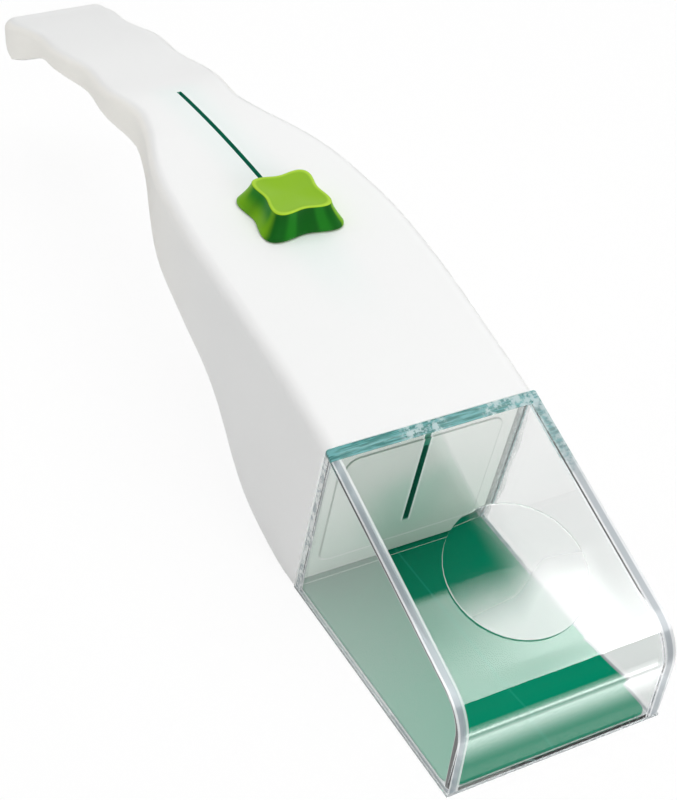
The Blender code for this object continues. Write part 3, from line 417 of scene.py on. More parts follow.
class Finish(Nodes):
    """One material: a Principled shader and the nodes that feed it."""

    def __init__(self, name, colour, roughness, metallic=0.0, **constants):
        self.material = bpy.data.materials.new(name)
        self.material.use_nodes = True
        super().__init__(self.material.node_tree)
        self.shader = self.tree.nodes["Principled BSDF"]
        self.output = self.tree.nodes["Material Output"]
        self.shader.inputs["Base Color"].default_value = (*colour, 1.0)
        self.shader.inputs["Roughness"].default_value = roughness
        self.shader.inputs["Metallic"].default_value = metallic
        for socket, value in constants.items():
            self.shader.inputs[socket.replace("_", " ")].default_value = value
        self.material.diffuse_color = (*colour, 1.0)
        self.surface = self.shader.outputs[0]
        self.coordinates = self.node("ShaderNodeTexCoord", output="Object")

    def feed(self, socket, wire):
        self.tree.links.new(wire.socket, self.shader.inputs[socket])

    def place(self):
        """X, Y and Z of a point on the surface, in metres."""
        return self.parts(self.coordinates)

    def facing(self):
        """X, Y and Z of the surface's normal."""
        return self.parts(self.node("ShaderNodeTexCoord", output="Normal"))

    def noise(self, scale, detail=3.0, roughness=0.5, stretch=None):
        """Even noise, or noise stretched by a scale for each axis."""
        vector = self.coordinates
        if stretch:
            vector = self.node("ShaderNodeMapping", {}, {"Vector": vector, "Scale": stretch})
        sockets = {"Vector": vector, "Scale": scale, "Detail": detail, "Roughness": roughness}
        return self.node("ShaderNodeTexNoise", {"noise_dimensions": "3D"}, sockets)

    def grain(self, scale, smoothest, roughest, detail=3.0):
        """Lets a fine noise vary the roughness between two values, and returns the noise."""
        noise = self.noise(scale, detail)
        self.feed("Roughness", noise.between(smoothest, roughest))
        return noise

    def bump(self, height, strength, distance):
        sockets = {"Height": height, "Strength": strength, "Distance": distance}
        self.feed("Normal", self.node("ShaderNodeBump", {}, sockets))

    def mix(self, share, first, second):
        """Blend of two colours."""
        made = self.tree.nodes.new("ShaderNodeMix")
        made.data_type = "RGBA"
        factor = next(socket for socket in made.inputs if socket.type == "VALUE")
        colours = [socket for socket in made.inputs if socket.type == "RGBA"]
        for socket, value in zip((factor, *colours), (share, first, second)):
            if isinstance(value, Wire):
                self.tree.links.new(value.socket, socket)
            else:
                socket.default_value = (*value, 1.0)
        return Wire(self, next(socket for socket in made.outputs if socket.type == "RGBA"))

    def blend_shaders(self, share, first, second):
        """Makes the surface a blend of two shaders."""
        mixed = self.tree.nodes.new("ShaderNodeMixShader")
        self.tree.links.new(share.socket, mixed.inputs[0])
        self.tree.links.new(first, mixed.inputs[1])
        self.tree.links.new(second, mixed.inputs[2])
        self.tree.links.new(mixed.outputs[0], self.output.inputs["Surface"])
        self.surface = mixed.outputs[0]

    def veil(self, share, colour, roughness):
        """Covers a share of the surface with an opaque layer of another colour."""
        layer = self.tree.nodes.new("ShaderNodeBsdfPrincipled")
        layer.inputs["Roughness"].default_value = roughness
        layer.inputs["Specular IOR Level"].default_value = 0.3
        self.tree.links.new(colour.socket, layer.inputs["Base Color"])
        self.blend_shaders(share, self.surface, layer.outputs[0])

    def pass_lamps(self):
        """Lets lamp and bounced rays through a clear piece, so that what is behind it is lit."""
        clear = self.tree.nodes.new("ShaderNodeBsdfTransparent")
        self.blend_shaders(self.rays("Shadow", "Diffuse"), self.surface, clear.outputs[0])


class Recipe(Nodes):
    """A Geometry Nodes tree with named sizes, and the piece that it makes."""

    def __init__(self, name, **sizes):
        super().__init__(bpy.data.node_groups.new(name, "GeometryNodeTree"))
        sockets = self.tree.interface
        sockets.new_socket("Geometry", in_out="OUTPUT", socket_type="NodeSocketGeometry")
        sockets.new_socket("Places", in_out="INPUT", socket_type="NodeSocketGeometry")
        self.values = {}
        for size, value in sizes.items():
            label = size.replace("_", " ")
            made = sockets.new_socket(label, in_out="INPUT", socket_type="NodeSocketFloat")
            self.values[made.identifier] = value
        group = self.node("NodeGroupInput").socket.node
        self.places = Wire(self, group.outputs["Places"])
        self.sizes = {size: Wire(self, group.outputs[size.replace("_", " ")]) for size in sizes}

    def vector(self, x, y, z):
        return self.node("ShaderNodeCombineXYZ", {}, {"X": x, "Y": y, "Z": z})

    def attribute(self, name):
        return self.node("GeometryNodeInputNamedAttribute", {"data_type": "FLOAT"}, {"Name": name})

    def moved(self, geometry, place, turn=(0.0, 0.0, 0.0)):
        sockets = {"Geometry": geometry, "Translation": place, "Rotation": turn}
        return self.node("GeometryNodeTransform", {}, sockets)

    def raised(self, geometry, height, turn=(0.0, 0.0, 0.0)):
        return self.moved(geometry, self.vector(0.0, 0.0, height), turn)

    def join(self, *pieces):
        joined = self.node("GeometryNodeJoinGeometry").socket.node
        for piece in pieces:
            self.tree.links.new(piece.socket, joined.inputs[0])
        return Wire(self, joined.outputs[0])

    def weld(self, geometry):
        sockets = {"Geometry": geometry, "Distance": WELD}
        return self.node("GeometryNodeMergeByDistance", {}, sockets)

    def cut(self, solid, cutter):
        """The solid without what the cutter fills."""
        sockets = {"Mesh 1": solid, "Mesh 2": cutter}
        settings = {"operation": "DIFFERENCE", "solver": "EXACT"}
        return self.node("GeometryNodeMeshBoolean", settings, sockets)

    def block(self, x, y, z):
        return self.node("GeometryNodeMeshCube", {}, {"Size": self.vector(x, y, z)})

    def disc(self, radius):
        circle = {"Vertices": ROUND_STEPS, "Radius": radius}
        return self.node("GeometryNodeMeshCircle", {"fill_type": "NGON"}, circle)

    def turned(self, sections):
        """Closed round solid through (radius, height) sections, the lowest first."""
        skins = []
        for (wide, low), (narrow, high) in zip(sections, sections[1:]):
            cone = {"Vertices": ROUND_STEPS, "Radius Bottom": wide, "Radius Top": narrow}
            cone["Depth"] = high - low
            skins.append(self.raised(self.node("GeometryNodeMeshCone", {"fill_type": "NONE"}, cone), low))
        (first, bottom), (last, top) = sections[0], sections[-1]
        underside = self.node("GeometryNodeFlipFaces", {}, {"Mesh": self.disc(first)})
        skins += [self.raised(underside, bottom), self.raised(self.disc(last), top)]
        return self.weld(self.join(*skins))

    def on_places(self, places, lean, instance, scale=(1.0, 1.0, 1.0)):
        """A copy of the instance at each place."""
        sockets = {"Points": places, "Rotation": lean, "Instance": instance, "Scale": scale}
        return self.node("GeometryNodeInstanceOnPoints", {}, sockets)

    def make(self, name, geometry, finish, places):
        """Runs the tree on a mesh of places and keeps the result as a plain mesh."""
        real = self.node("GeometryNodeRealizeInstances", {}, {"Geometry": geometry})
        coloured = self.node("GeometryNodeSetMaterial", {}, {"Geometry": real, "Material": finish})
        ending = self.tree.nodes.new("NodeGroupOutput")
        self.tree.links.new(coloured.socket, ending.inputs["Geometry"])
        made = linked(name, places)
        modifier = made.modifiers.new(name, "NODES")
        modifier.node_group = self.tree
        for identifier, value in self.values.items():
            modifier[identifier] = float(value)
        evaluated = made.evaluated_get(bpy.context.evaluated_depsgraph_get())
        data = bpy.data.meshes.new_from_object(evaluated)
        made.modifiers.remove(modifier)
        made.data = data
        give(data, finish)
        data.shade_smooth()
        data.set_sharp_from_angle(angle=SHARP_ANGLE)
        return made


def linked(name, data):
    """New object of the scene with the given data."""
    made = bpy.data.objects.new(name, data)
    bpy.context.scene.collection.objects.link(made)
    return made


def give(data, finish):
    """Makes a finish the only material of a mesh."""
    data.materials.clear()
    data.materials.append(finish)


def housing_white():
    """Satin white, with painted light on its flanks and painted green glow and shade at the slot and
    mouth.
    """
    body, lit_flank_colour, strip_glow = (0.87, 0.875, 0.87), (0.97, 0.955, 0.905), (0.50, 0.80, 0.72)
    finish = Finish("housing_white", body, 0.42, Specular_IOR_Level=0.22)
    x, y, z = finish.place()
    sideways, _, upward = finish.facing()
    # Painted light: flanks that face sideways are painted lighter and warmer towards the tail
    lit_flank = abs(sideways).ramp(*LIT_FLANK_FACING) * y.ramp(*LIT_FLANK_ALONG)
    on_top = z.ramp(*TOP_RISE)
    # Painted green glow beside the slot, standing in for the strip's light through the shell
    beside_slot = abs(x).fall(*STRIP_GLOW_ACROSS) * y.ramp(*STRIP_GLOW_START) * y.fall(*STRIP_GLOW_END) * on_top
    tinted = finish.mix(beside_slot * STRIP_GLOW_SHARE, finish.mix(lit_flank, body, lit_flank_colour), strip_glow)
    # Painted green shade in the slot and on the mouth's inner walls, for the shaded strip and film and
    # their green light
    in_slot = abs(x).fall(*SLOT_SIDE) * y.ramp(*SLOT_START) * y.fall(*SLOT_END) * on_top
    in_mouth = abs(x).fall(*MOUTH_SIDE) * y.fall(*MOUTH_REAR) * upward.ramp(*MOUTH_FACING)
    in_mouth = in_mouth * z.ramp(*MOUTH_FLOOR) * z.fall(*MOUTH_CEILING)
    finish.feed("Base Color", finish.mix(in_slot.larger(in_mouth), tinted, (0.01, 0.27, 0.17)))
    finish.bump(finish.grain(900.0, 0.36, 0.46, detail=4.0), 0.12, HOUSING_GRAIN)
    return finish.material


def raised_outline(x, z):
    """Distance from the outline of the bulkhead's raised panel, positive outside it."""
    low, high = bulkhead_low[2] + RAISED_FOOT, bulkhead_high[2] - RAISED_MARGIN
    half = bulkhead_high[0] - RAISED_MARGIN - RAISED_CORNER
    out_x = (abs(x) - half).larger(0.0)
    out_z = (abs(z - (low + high) / 2) - ((high - low) / 2 - RAISED_CORNER)).larger(0.0)
    return (out_x * out_x + out_z * out_z) ** 0.5 - RAISED_CORNER


def bulkhead_white():
    """White plate with painted green light of the film, its raised outline painted as shade and
    highlight, and a slit in painted shade.
    """
    finish = Finish("bulkhead_white", (0.80, 0.82, 0.80), 0.45)
    x, _, z = finish.place()
    # Painted green light of the film, greener towards the foot, and a painted green glow round the slit
    plate = finish.mix(z.ramp(*PLATE_PALING), (0.73, 0.84, 0.76), (0.84, 0.86, 0.83))
    beside_slit = abs(x).fall(*GLOW_ACROSS) * abs(z - GLOW_HEIGHT).fall(*GLOW_UPWARD)
    plate = finish.mix(beside_slit * GLOW_SHARE, plate, (0.47, 0.70, 0.60))
    # Painted shade along the raised panel's outline, turning to a bolder painted highlight at the foot
    foot = z.fall(*OUTLINE_FOOT)
    line = (abs(raised_outline(x, z)) - foot * OUTLINE_BOLDER).fall(*OUTLINE_WIDTH)
    outline_shade_and_highlight = finish.mix(foot, (0.24, 0.30, 0.26), (0.98, 1.0, 0.98))
    plate = finish.mix(line * foot.between(*OUTLINE_SHARES), plate, outline_shade_and_highlight)
    # Painted highlights along both sides of the slit
    lip_highlights = abs(abs(x) - LIP_PLACE).fall(*LIP_WIDTH) * z.ramp(*LIP_START)
    plate = finish.mix(lip_highlights * LIP_SHARE, plate, (0.97, 1.0, 0.98))
    # Painted green shade in the slit, for the shaded film behind it
    in_slit = abs(x).fall(*SLIT_SIDE) * z.ramp(*SLIT_START)
    finish.feed("Base Color", finish.mix(in_slit, plate, (0.01, 0.20, 0.13)))
    finish.grain(600.0, 0.40, 0.52)
    return finish.material


def inner_white():
    """Plainer white of the mouldings inside the housing."""
    finish = Finish("inner_white", (0.80, 0.82, 0.81), 0.48)
    finish.grain(600.0, 0.42, 0.54)
    return finish.material


def edge_teals(finish, x, ripple):
    """Painted teals of light through the chamber's rear top edge, streaked along it, with painted
    highlight flecks in two stretches.
    """
    teal, deep_teal, fleck_highlight = (0.10, 0.33, 0.33), (0.02, 0.15, 0.14), (0.42, 0.55, 0.56)
    streaks = finish.noise(1500.0, 2.0, stretch=(0.10, 1.0, 1.0)) - 0.5
    teals = finish.mix((streaks * 5 + 0.5).ramp(0.0, 1.0), deep_teal, teal)
    flecked = x.ramp(*FLECKED_RIGHT).larger(abs(x - FLECKED_MIDDLE).fall(*FLECKED_REACH))
    return finish.mix(flecked * (ripple * 9 + 0.45).ramp(0.0, 1.0), teals, fleck_highlight)


def edge_greys(finish, right, inward):
    """Painted greys of the walls' cut edges, with painted highlights along both borders."""
    greys = finish.mix(right, EDGE_GREY, (0.47, 0.51, 0.54))
    border = inward.fall(*OUTER_BORDER).larger(inward.ramp(*INNER_BORDER))
    return finish.mix(border * BORDER_SHARE, greys, EDGE_HIGHLIGHT)


def chamber_clear():
    """Clear moulding with painted teal along its rear top edge and painted grey along its walls' edges.
    """
    finish = Finish("chamber_clear", (1.0, 1.0, 1.0), 0.0, Transmission_Weight=1.0, IOR=1.50)
    x, y, z = finish.place()
    right = x.ramp(*RIGHT_HALF)
    ripple = finish.noise(420.0, 6.0, 0.7) - 0.5
    waves = finish.noise(60.0, 2.0) - 0.5
    sideways = abs(finish.facing()[0])
    # How far a point is down the sloping panel, under the panel's outer face, in from the nearer
    # wall's outer face, and in front of the rear wall's outer face
    behind, below = REAR_TOP - y, chamber_high[2] - z
    down = behind * math.cos(PANEL_SLOPE) + below * math.sin(PANEL_SLOPE)
    under = below * math.cos(PANEL_SLOPE) - behind * math.sin(PANEL_SLOPE)
    inward = chamber_high[0] - abs(x) - right.between(*WALL_INSET)
    from_rear = y - REAR_FOOT + z * (REAR_LEAN / chamber_high[2])
    # Shares of the three edges with painted light
    top_edge = down.fall(*BAND_END) * under.fall(*FACE_DEPTH)
    wall_edge = inward.fall(*WALL_END) * sideways.fall(*SIDE_FACING)
    rear_edge = (from_rear + waves * REAR_WAVE).ramp(*REAR_EDGE) * sideways.ramp(*SIDE_FACING)
    # Their colours
    teals = edge_teals(finish, x, ripple)
    right_teal = right * (down + ripple * TEAL_RAGGED).fall(*TEAL_DOWN)
    walls = finish.mix(right_teal * TEAL_SHARE, edge_greys(finish, right, inward), teals)
    # Painted grey mottled with painted highlights along the rear edge
    mottled = finish.mix((ripple * 8 + 0.5).ramp(0.0, 1.0), EDGE_GREY, EDGE_HIGHLIGHT)
    colour = finish.mix(top_edge, finish.mix(rear_edge, walls, mottled), teals)
    painted_edges = (wall_edge * right.between(*WALL_PAINTED_SHARES)).larger(rear_edge * right.between(*REAR_PAINTED_SHARES))
    finish.veil(painted_edges.larger(top_edge * TOP_PAINTED_SHARE), colour, 0.35)
    finish.pass_lamps()
    return finish.material


def rim_clear():
    """Clear moulding of the rim under the walls, with painted grey streaks for the light that it bends.
    """
    finish = Finish("rim_clear", (0.93, 0.97, 0.96), 0.02, Transmission_Weight=1.0, IOR=1.50)
    streaks = finish.noise(500.0, 4.0)
    # Painted greys for the light that the rim bends and mirrors
    greys = finish.mix(streaks, (0.40, 0.44, 0.45), (0.80, 0.83, 0.84))
    finish.veil(streaks.between(0.15, 0.55), greys, 0.3)
    finish.pass_lamps()
    return finish.material


def lens_clear():
    """Clear magnifier with a faint whitish layer towards its front and its right side."""
    finish = Finish("lens_clear", (1.0, 1.0, 1.0), 0.0, Transmission_Weight=1.0, IOR=1.16)
    x, y, _ = finish.place()
    whitish = finish.mix(finish.noise(80.0), (0.90, 0.93, 0.92), (0.97, 0.98, 0.97))
    whitish_reach = y.fall(*WHITISH_ALONG) + x.ramp(*WHITISH_ACROSS) * WHITISH_BESIDE
    finish.veil(whitish_reach.within(0.0, 1.0) * WHITISH_SHARE, whitish, 0.3)
    finish.pass_lamps()
    return finish.material


def sheet_green():
    """Deep green film, with painted shade on the left and painted light in front, and a faint crease
    along it.
    """
    green, shaded_left_green, lit_front_green = (0.0, 0.235, 0.125), (0.0, 0.20, 0.105), (0.0, 0.262, 0.142)
    finish = Finish("sheet_green", green, 0.24, Specular_IOR_Level=0.10)
    x, y, _ = finish.place()
    # Painted shade on the left and painted light in front
    shaded = finish.mix(x.ramp(*FILM_ACROSS), shaded_left_green, green)
    shaded = finish.mix(y.fall(*FILM_ALONG), shaded, lit_front_green)
    crease = abs(x).fall(*CREASE_WIDTH)
    finish.feed("Base Color", finish.mix(crease * CREASE_SHARE, shaded, (0.02, 0.36, 0.24)))
    finish.grain(60.0, 0.20, 0.26)
    return finish.material


def slide_green(name, colour):
    """Satin green of the slide's strip or carriage."""
    finish = Finish(name, colour, 0.38)
    finish.grain(700.0, 0.30, 0.45)
    return finish.material


def button_lime():
    """Lime moulding with painted light and shade: highlights on lobes and rim, dark green shade down the
    hollow front and sides.
    """
    # Painted light and shade: lit and shaded limes picked by the way the surface faces, and edge, the
    # rim's painted highlight
    lime, edge = (0.225, 0.440, 0.003), (0.380, 0.600, 0.030)
    lit_lime, shaded = (0.170, 0.420, 0.006), (0.012, 0.200, 0.008)
    deep_shade, shade_streak = (0.006, 0.105, 0.009), (0.014, 0.190, 0.013)
    finish = Finish("button_lime", lime, 0.34, Specular_IOR_Level=0.12)
    across, along, _ = finish.facing()
    hollow, flare, crown, dish = (
        finish.node("ShaderNodeAttribute", {"attribute_name": name}, output="Fac")
        for name in ("hollow", "flare", "crown", "dish")
    )
    higher = finish.mix(flare.ramp(0.10, 0.85), lit_lime, shaded)
    lobes = (1 - hollow).ramp(0.70, 1.0)
    sides = finish.mix(lobes * (-across).ramp(0.2, 0.6), higher, lit_lime)
    fronts = finish.mix(abs(hollow - 0.45).ramp(0.10, 0.35), shade_streak, deep_shade)
    sides = finish.mix((-along).ramp(0.0, 0.62), sides, fronts)
    sides = finish.mix(across.ramp(0.40, 0.62), sides, lit_lime)
    side = (flare * 0.5 + crown * 0.5).fall(0.50, 0.56)
    rim = crown.ramp(0.1, 0.4) * dish.fall(0.0, 0.10)
    finish.feed("Base Color", finish.mix(side, finish.mix(rim, lime, edge), sides))
    finish.bump(finish.grain(1100.0, 0.30, 0.40, detail=4.0), 0.10, BUTTON_GRAIN)
    return finish.material


def screw_steel():
    """Bright zinc-plated steel."""
    finish = Finish("screw_steel", (0.60, 0.60, 0.61), 0.30, 1.0)
    finish.grain(2200.0, 0.22, 0.40)
    return finish.material


def flat_patches(mesh):
    """Groups a mesh's faces into flat patches: a patch number per face, and each patch's area."""
    number, areas = {}, []
    for first in mesh.faces:
        if first in number:
            continue
        number[first] = len(areas)
        area, waiting = 0.0, [first]
        while waiting:
            face = waiting.pop()
            area += face.calc_area()
            for edge in face.edges:
                for other in edge.link_faces:
                    if other not in number and other.normal.dot(first.normal) > FLAT_COSINE:
                        number[other] = len(areas)
                        waiting.append(other)
        areas.append(area)
    return number, areas


def corner_normal(face, vertex, number, areas):
    """Shading normal at a face's corner: round faces blend and large flat ones stay flat."""
    patches = {}
    for other in vertex.link_faces:
        if other.normal.dot(face.normal) > math.cos(SHARP_ANGLE):
            patches[number[other]] = other.normal
    largest = max(areas[patch] for patch in patches)
    blend = Vector()
    for patch, normal in patches.items():
        if areas[patch] * SMALL_PATCH > largest:
            blend += normal
    return blend.normalized()


def welded(name, node, finish):
    """Smoothly shaded copy of a CAD node, free of its body."""
    mesh = bmesh.new()
    mesh.from_mesh(nodes[node].data)
    bmesh.ops.remove_doubles(mesh, verts=mesh.verts, dist=WELD)
    slivers = [face for face in mesh.faces if face.calc_area() < SLIVER_AREA]
    bmesh.ops.delete(mesh, geom=slivers, context="FACES_ONLY")
    number, areas = flat_patches(mesh)
    normals = [
        corner_normal(face, loop.vert, number, areas) for face in mesh.faces for loop in face.loops
    ]
    data = bpy.data.meshes.new(name)
    mesh.to_mesh(data)
    mesh.free()
    give(data, finish)
    data.shade_smooth()
    data.normals_split_custom_set(normals)
    return linked(name, data)


def stand_for(piece, slot, *replaced):
    """Hides the CAD nodes that a piece stands for."""
    for node in replaced:
        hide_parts(node)


def carried(piece, slot, *replaced):
    """Lets a piece move with the body of the CAD nodes that it stands for."""
    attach(piece, nodes[replaced[0]]["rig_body"])
    stand_for(piece, slot, *replaced)
    return piece


def bent(piece, slot, node):
    """Bakes a piece's place into its mesh and hides the CAD node that it stands for."""
    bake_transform(piece)
    stand_for(piece, slot, node)


def marked_places(name, places, lengths):
    """Mesh of bare points, each with the length of the shank that stands on it."""
    data = bpy.data.meshes.new(name)
    data.from_pydata(places, [], [])
    shanks = data.attributes.new("shank_length", "FLOAT", "POINT")
    shanks.data.foreach_set("value", lengths)
    return data


def fastener_head(recipe, recessed):
    """Domed head whose seat is at its place, with a cross recess if it has one."""
    size = recipe.sizes
    radius, height = size["head_diameter"] * 0.5, size["head_height"]
    head = recipe.turned([(radius * across, height * -down) for across, down in HEAD_SHARES])
    if not recessed:
        return head
    wide, thin = size["recess_width"], size["recess_width"] * RECESS_THIN_SHARE
    for x, y in ((wide, thin), (thin, wide)):
        head = recipe.cut(head, recipe.raised(recipe.block(x, y, size["recess_depth"] * 2), -height))
    return head


def fasteners(name, places, lengths, turn, finish, recessed, **sizes):
    """Headed fasteners of one size: heads under their places, shanks with a tapered point above."""
    recipe = Recipe(name, lean=turn, **sizes)
    size = recipe.sizes
    radius, tip = size["shank_diameter"] * 0.5, size["point_height"]
    rod = recipe.turned([(radius, 0.0), (radius, 1.0)])
    point = recipe.turned([(radius, 0.0), (radius * size["point_share"], tip)])
    straight = recipe.attribute("shank_length") - tip
    lean = recipe.vector(size["lean"], 0.0, 0.0)
    rise = recipe.vector(0.0, -straight * size["lean"].sine(), straight * size["lean"].cosine())
    lifted = recipe.node("GeometryNodeSetPosition", {}, {"Geometry": recipe.places, "Offset": rise})
    heads = recipe.on_places(recipe.places, lean, fastener_head(recipe, recessed))
    rods = recipe.on_places(recipe.places, lean, rod, recipe.vector(1.0, 1.0, straight))
    points = recipe.on_places(lifted, lean, point)
    whole = recipe.join(heads, rods, points)
    return recipe.make(name, whole, finish, marked_places(name, places, lengths))


def make_screws(finish):
    """The five screws that hold the base, with cross recesses in their heads."""
    names = [f"{side}_{place}_screw" for place in ("shoulder", "neck") for side in ("left", "right")]
    names.append("tail_screw")
    places, lengths = [], []
    for name in names:
        low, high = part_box(name)
        seat = low[2] + SCREW_HEAD
        places.append(((low[0] + high[0]) / 2, (low[1] + high[1]) / 2, seat))
        lengths.append(high[2] - seat)
    screws = fasteners(
        "steel_screws",
        places,
        lengths,
        0.0,
        finish,
        recessed=True,
        head_diameter=SCREW_HEAD_DIAMETER,
        head_height=SCREW_HEAD,
        recess_width=RECESS_WIDTH,
        recess_depth=RECESS_DEPTH,
        shank_diameter=SCREW_DIAMETER,
        point_height=SCREW_DIAMETER / 2,
        point_share=SCREW_POINT_SHARE,
    )
    carried(screws, "steel", *names)


def thumb_place(x, along, out):
    """Place of a point given across, along and out from the thumb slide's track."""
    high = TRACK_RADIUS + out
    cosine, sine = math.cos(THUMB_LEAN), math.sin(THUMB_LEAN)
    y = THUMB_PIVOT[1] + along * cosine - high * sine
    return x, y, THUMB_PIVOT[2] + along * sine + high * cosine


def make_studs(finish):
    """The two headed studs that hold the tongue to the carriage."""
    low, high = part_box("left_tongue_stud")
    left = (low[0] + high[0]) / 2
    studs = fasteners(
        "steel_studs",
        [thumb_place(x, STUD_PLACE, -STUD_SEAT) for x in (left, -left)],
        [STUD_LENGTH, STUD_LENGTH],
        THUMB_LEAN,
        finish,
        recessed=False,
        head_diameter=STUD_HEAD_DIAMETER,
        head_height=STUD_HEAD,
        shank_diameter=STUD_DIAMETER,
        point_height=STUD_HEAD / 4,
        point_share=STUD_POINT_SHARE,
    )
    carried(studs, "steel", "left_tongue_stud", "right_tongue_stud")


def widest_reach(lobe_share, power, steps=720):
    """Largest reach to one side of the lobed outline that has a reach of 1 before its hollows."""
    reaches = []
    for step in range(steps + 1):
        angle = math.pi / 2 * step / steps
        cosine, sine = math.cos(angle), math.sin(angle)
        square = (cosine**power + sine**power) ** (-1 / power)
        reaches.append(square * (1 - lobe_share * (1 + math.cos(4 * angle)) / 2) * cosine)
    return max(reaches)


def button_body(recipe):
    """Closed skin of the button: a grid bent round its axis, with marks that its finish reads."""
    size = recipe.sizes
    counts = (UNDER_ROWS, RIM_ROWS, FLARE_ROWS, CROWN_ROWS, DISH_ROWS)
    rows = sum(counts)
    grid = {"Size X": 1.0, "Size Y": 1.0, "Vertices X": BUTTON_STEPS + 1, "Vertices Y": rows + 1}
    skin = recipe.node("GeometryNodeMeshGrid", {}, grid)
    around, level, _ = recipe.parts(recipe.node("GeometryNodeInputPosition"))
    angle, row = around * (2 * math.pi) + math.pi, (level + 0.5) * rows
    # Shares of the way over the underside, up the rim and the flare, over the crown and the dish
    under, rim, flare, crown, dish = (
        ((row - sum(counts[:place])) / count).within(0.0, 1.0) for place, count in enumerate(counts)
    )
    # Width and length of the outline at each level, and its height
    bend = crown * (math.pi / 2)
    wider = (1 - flare) ** size["flare"]
    inset = (1 - bend.cosine()) * size["crown"] * 2
    width = (size["width"] - size["top_width"]) * wider + size["top_width"] - inset
    length = (size["length"] - size["top_length"]) * wider + size["top_length"] - inset
    straight = (size["height"] - size["foot"] - size["rim"]) * flare
    sunk = (1 - (1 - dish) ** 2) * size["dish"]
    out = size["foot"] + size["rim"] * rim + straight + bend.sine() * size["foot"] - sunk
    # The lobed outline, which shrinks to a point in the middle of the underside and of the top
    cosine, sine, hollow = angle.cosine(), angle.sine(), ((angle * 4).cosine() + 1) / 2
    power = size["squareness"]
    square = (abs(cosine) ** power + abs(sine) ** power) ** (-1 / power)
    reach = square * (1 - hollow * size["lobes"]) / size["widest"] / 2 * (under * (1 - dish))
    x, y = reach * cosine * width, reach * sine * length
    for name, value in (("hollow", hollow), ("flare", flare), ("crown", crown), ("dish", dish)):
        stored = {"Geometry": skin, "Name": name, "Value": value}
        skin = recipe.node("GeometryNodeStoreNamedAttribute", {"data_type": "FLOAT"}, stored)
    placed = {"Geometry": skin, "Position": recipe.vector(x, y, out + size["track_radius"])}
    return recipe.weld(recipe.node("GeometryNodeSetPosition", {}, placed))


def button_blade(recipe):
    """Blade that goes through the slot into the button, with the hole for its pin."""
    size = recipe.sizes
    inside = size["foot"] + size["rim"]
    tall = size["blade_depth"] + inside
    blade = recipe.block(size["blade_width"], size["blade_length"], tall)
    blade = recipe.raised(blade, size["track_radius"] + inside - tall * 0.5)
    radius, reach = size["pin_width"] * 0.5, size["blade_width"] * 2
    hole = recipe.turned([(radius, -reach), (radius, reach)])
    sideways = (0.0, math.pi / 2, 0.0)
    return recipe.cut(blade, recipe.raised(hole, size["track_radius"] - size["pin_depth"], sideways))


def make_button(finish):
    """Lobed button with flared hollow sides and a dished top, and its blade through the slot."""
    recipe = Recipe(
        "lime_button",
        width=BUTTON_WIDTH,
        length=BUTTON_LENGTH,
        top_width=BUTTON_TOP_WIDTH,
        top_length=BUTTON_TOP_LENGTH,
        foot=BUTTON_FOOT,
        rim=BUTTON_RIM,
        height=BUTTON_HEIGHT,
        crown=BUTTON_CROWN,
        dish=BUTTON_DISH,
        flare=BUTTON_FLARE,
        squareness=BUTTON_SQUARENESS,
        lobes=BUTTON_LOBE_SHARE,
        widest=widest_reach(BUTTON_LOBE_SHARE, BUTTON_SQUARENESS),
        blade_width=BLADE_WIDTH,
        blade_length=BLADE_LENGTH,
        blade_depth=BLADE_DEPTH,
        pin_width=PIN_HOLE,
        pin_depth=PIN_DEPTH,
        track_radius=TRACK_RADIUS,
        lean=THUMB_LEAN,
    )
    whole = recipe.join(button_body(recipe), button_blade(recipe))
    pivot = recipe.vector(0.0, THUMB_PIVOT[1], THUMB_PIVOT[2])
    placed = recipe.moved(whole, pivot, recipe.vector(recipe.sizes["lean"], 0.0, 0.0))
    button = recipe.make("lime_button", placed, finish, bpy.data.meshes.new("lime_button_places"))
    carried(button, "lime_plastic", "thumb_button")


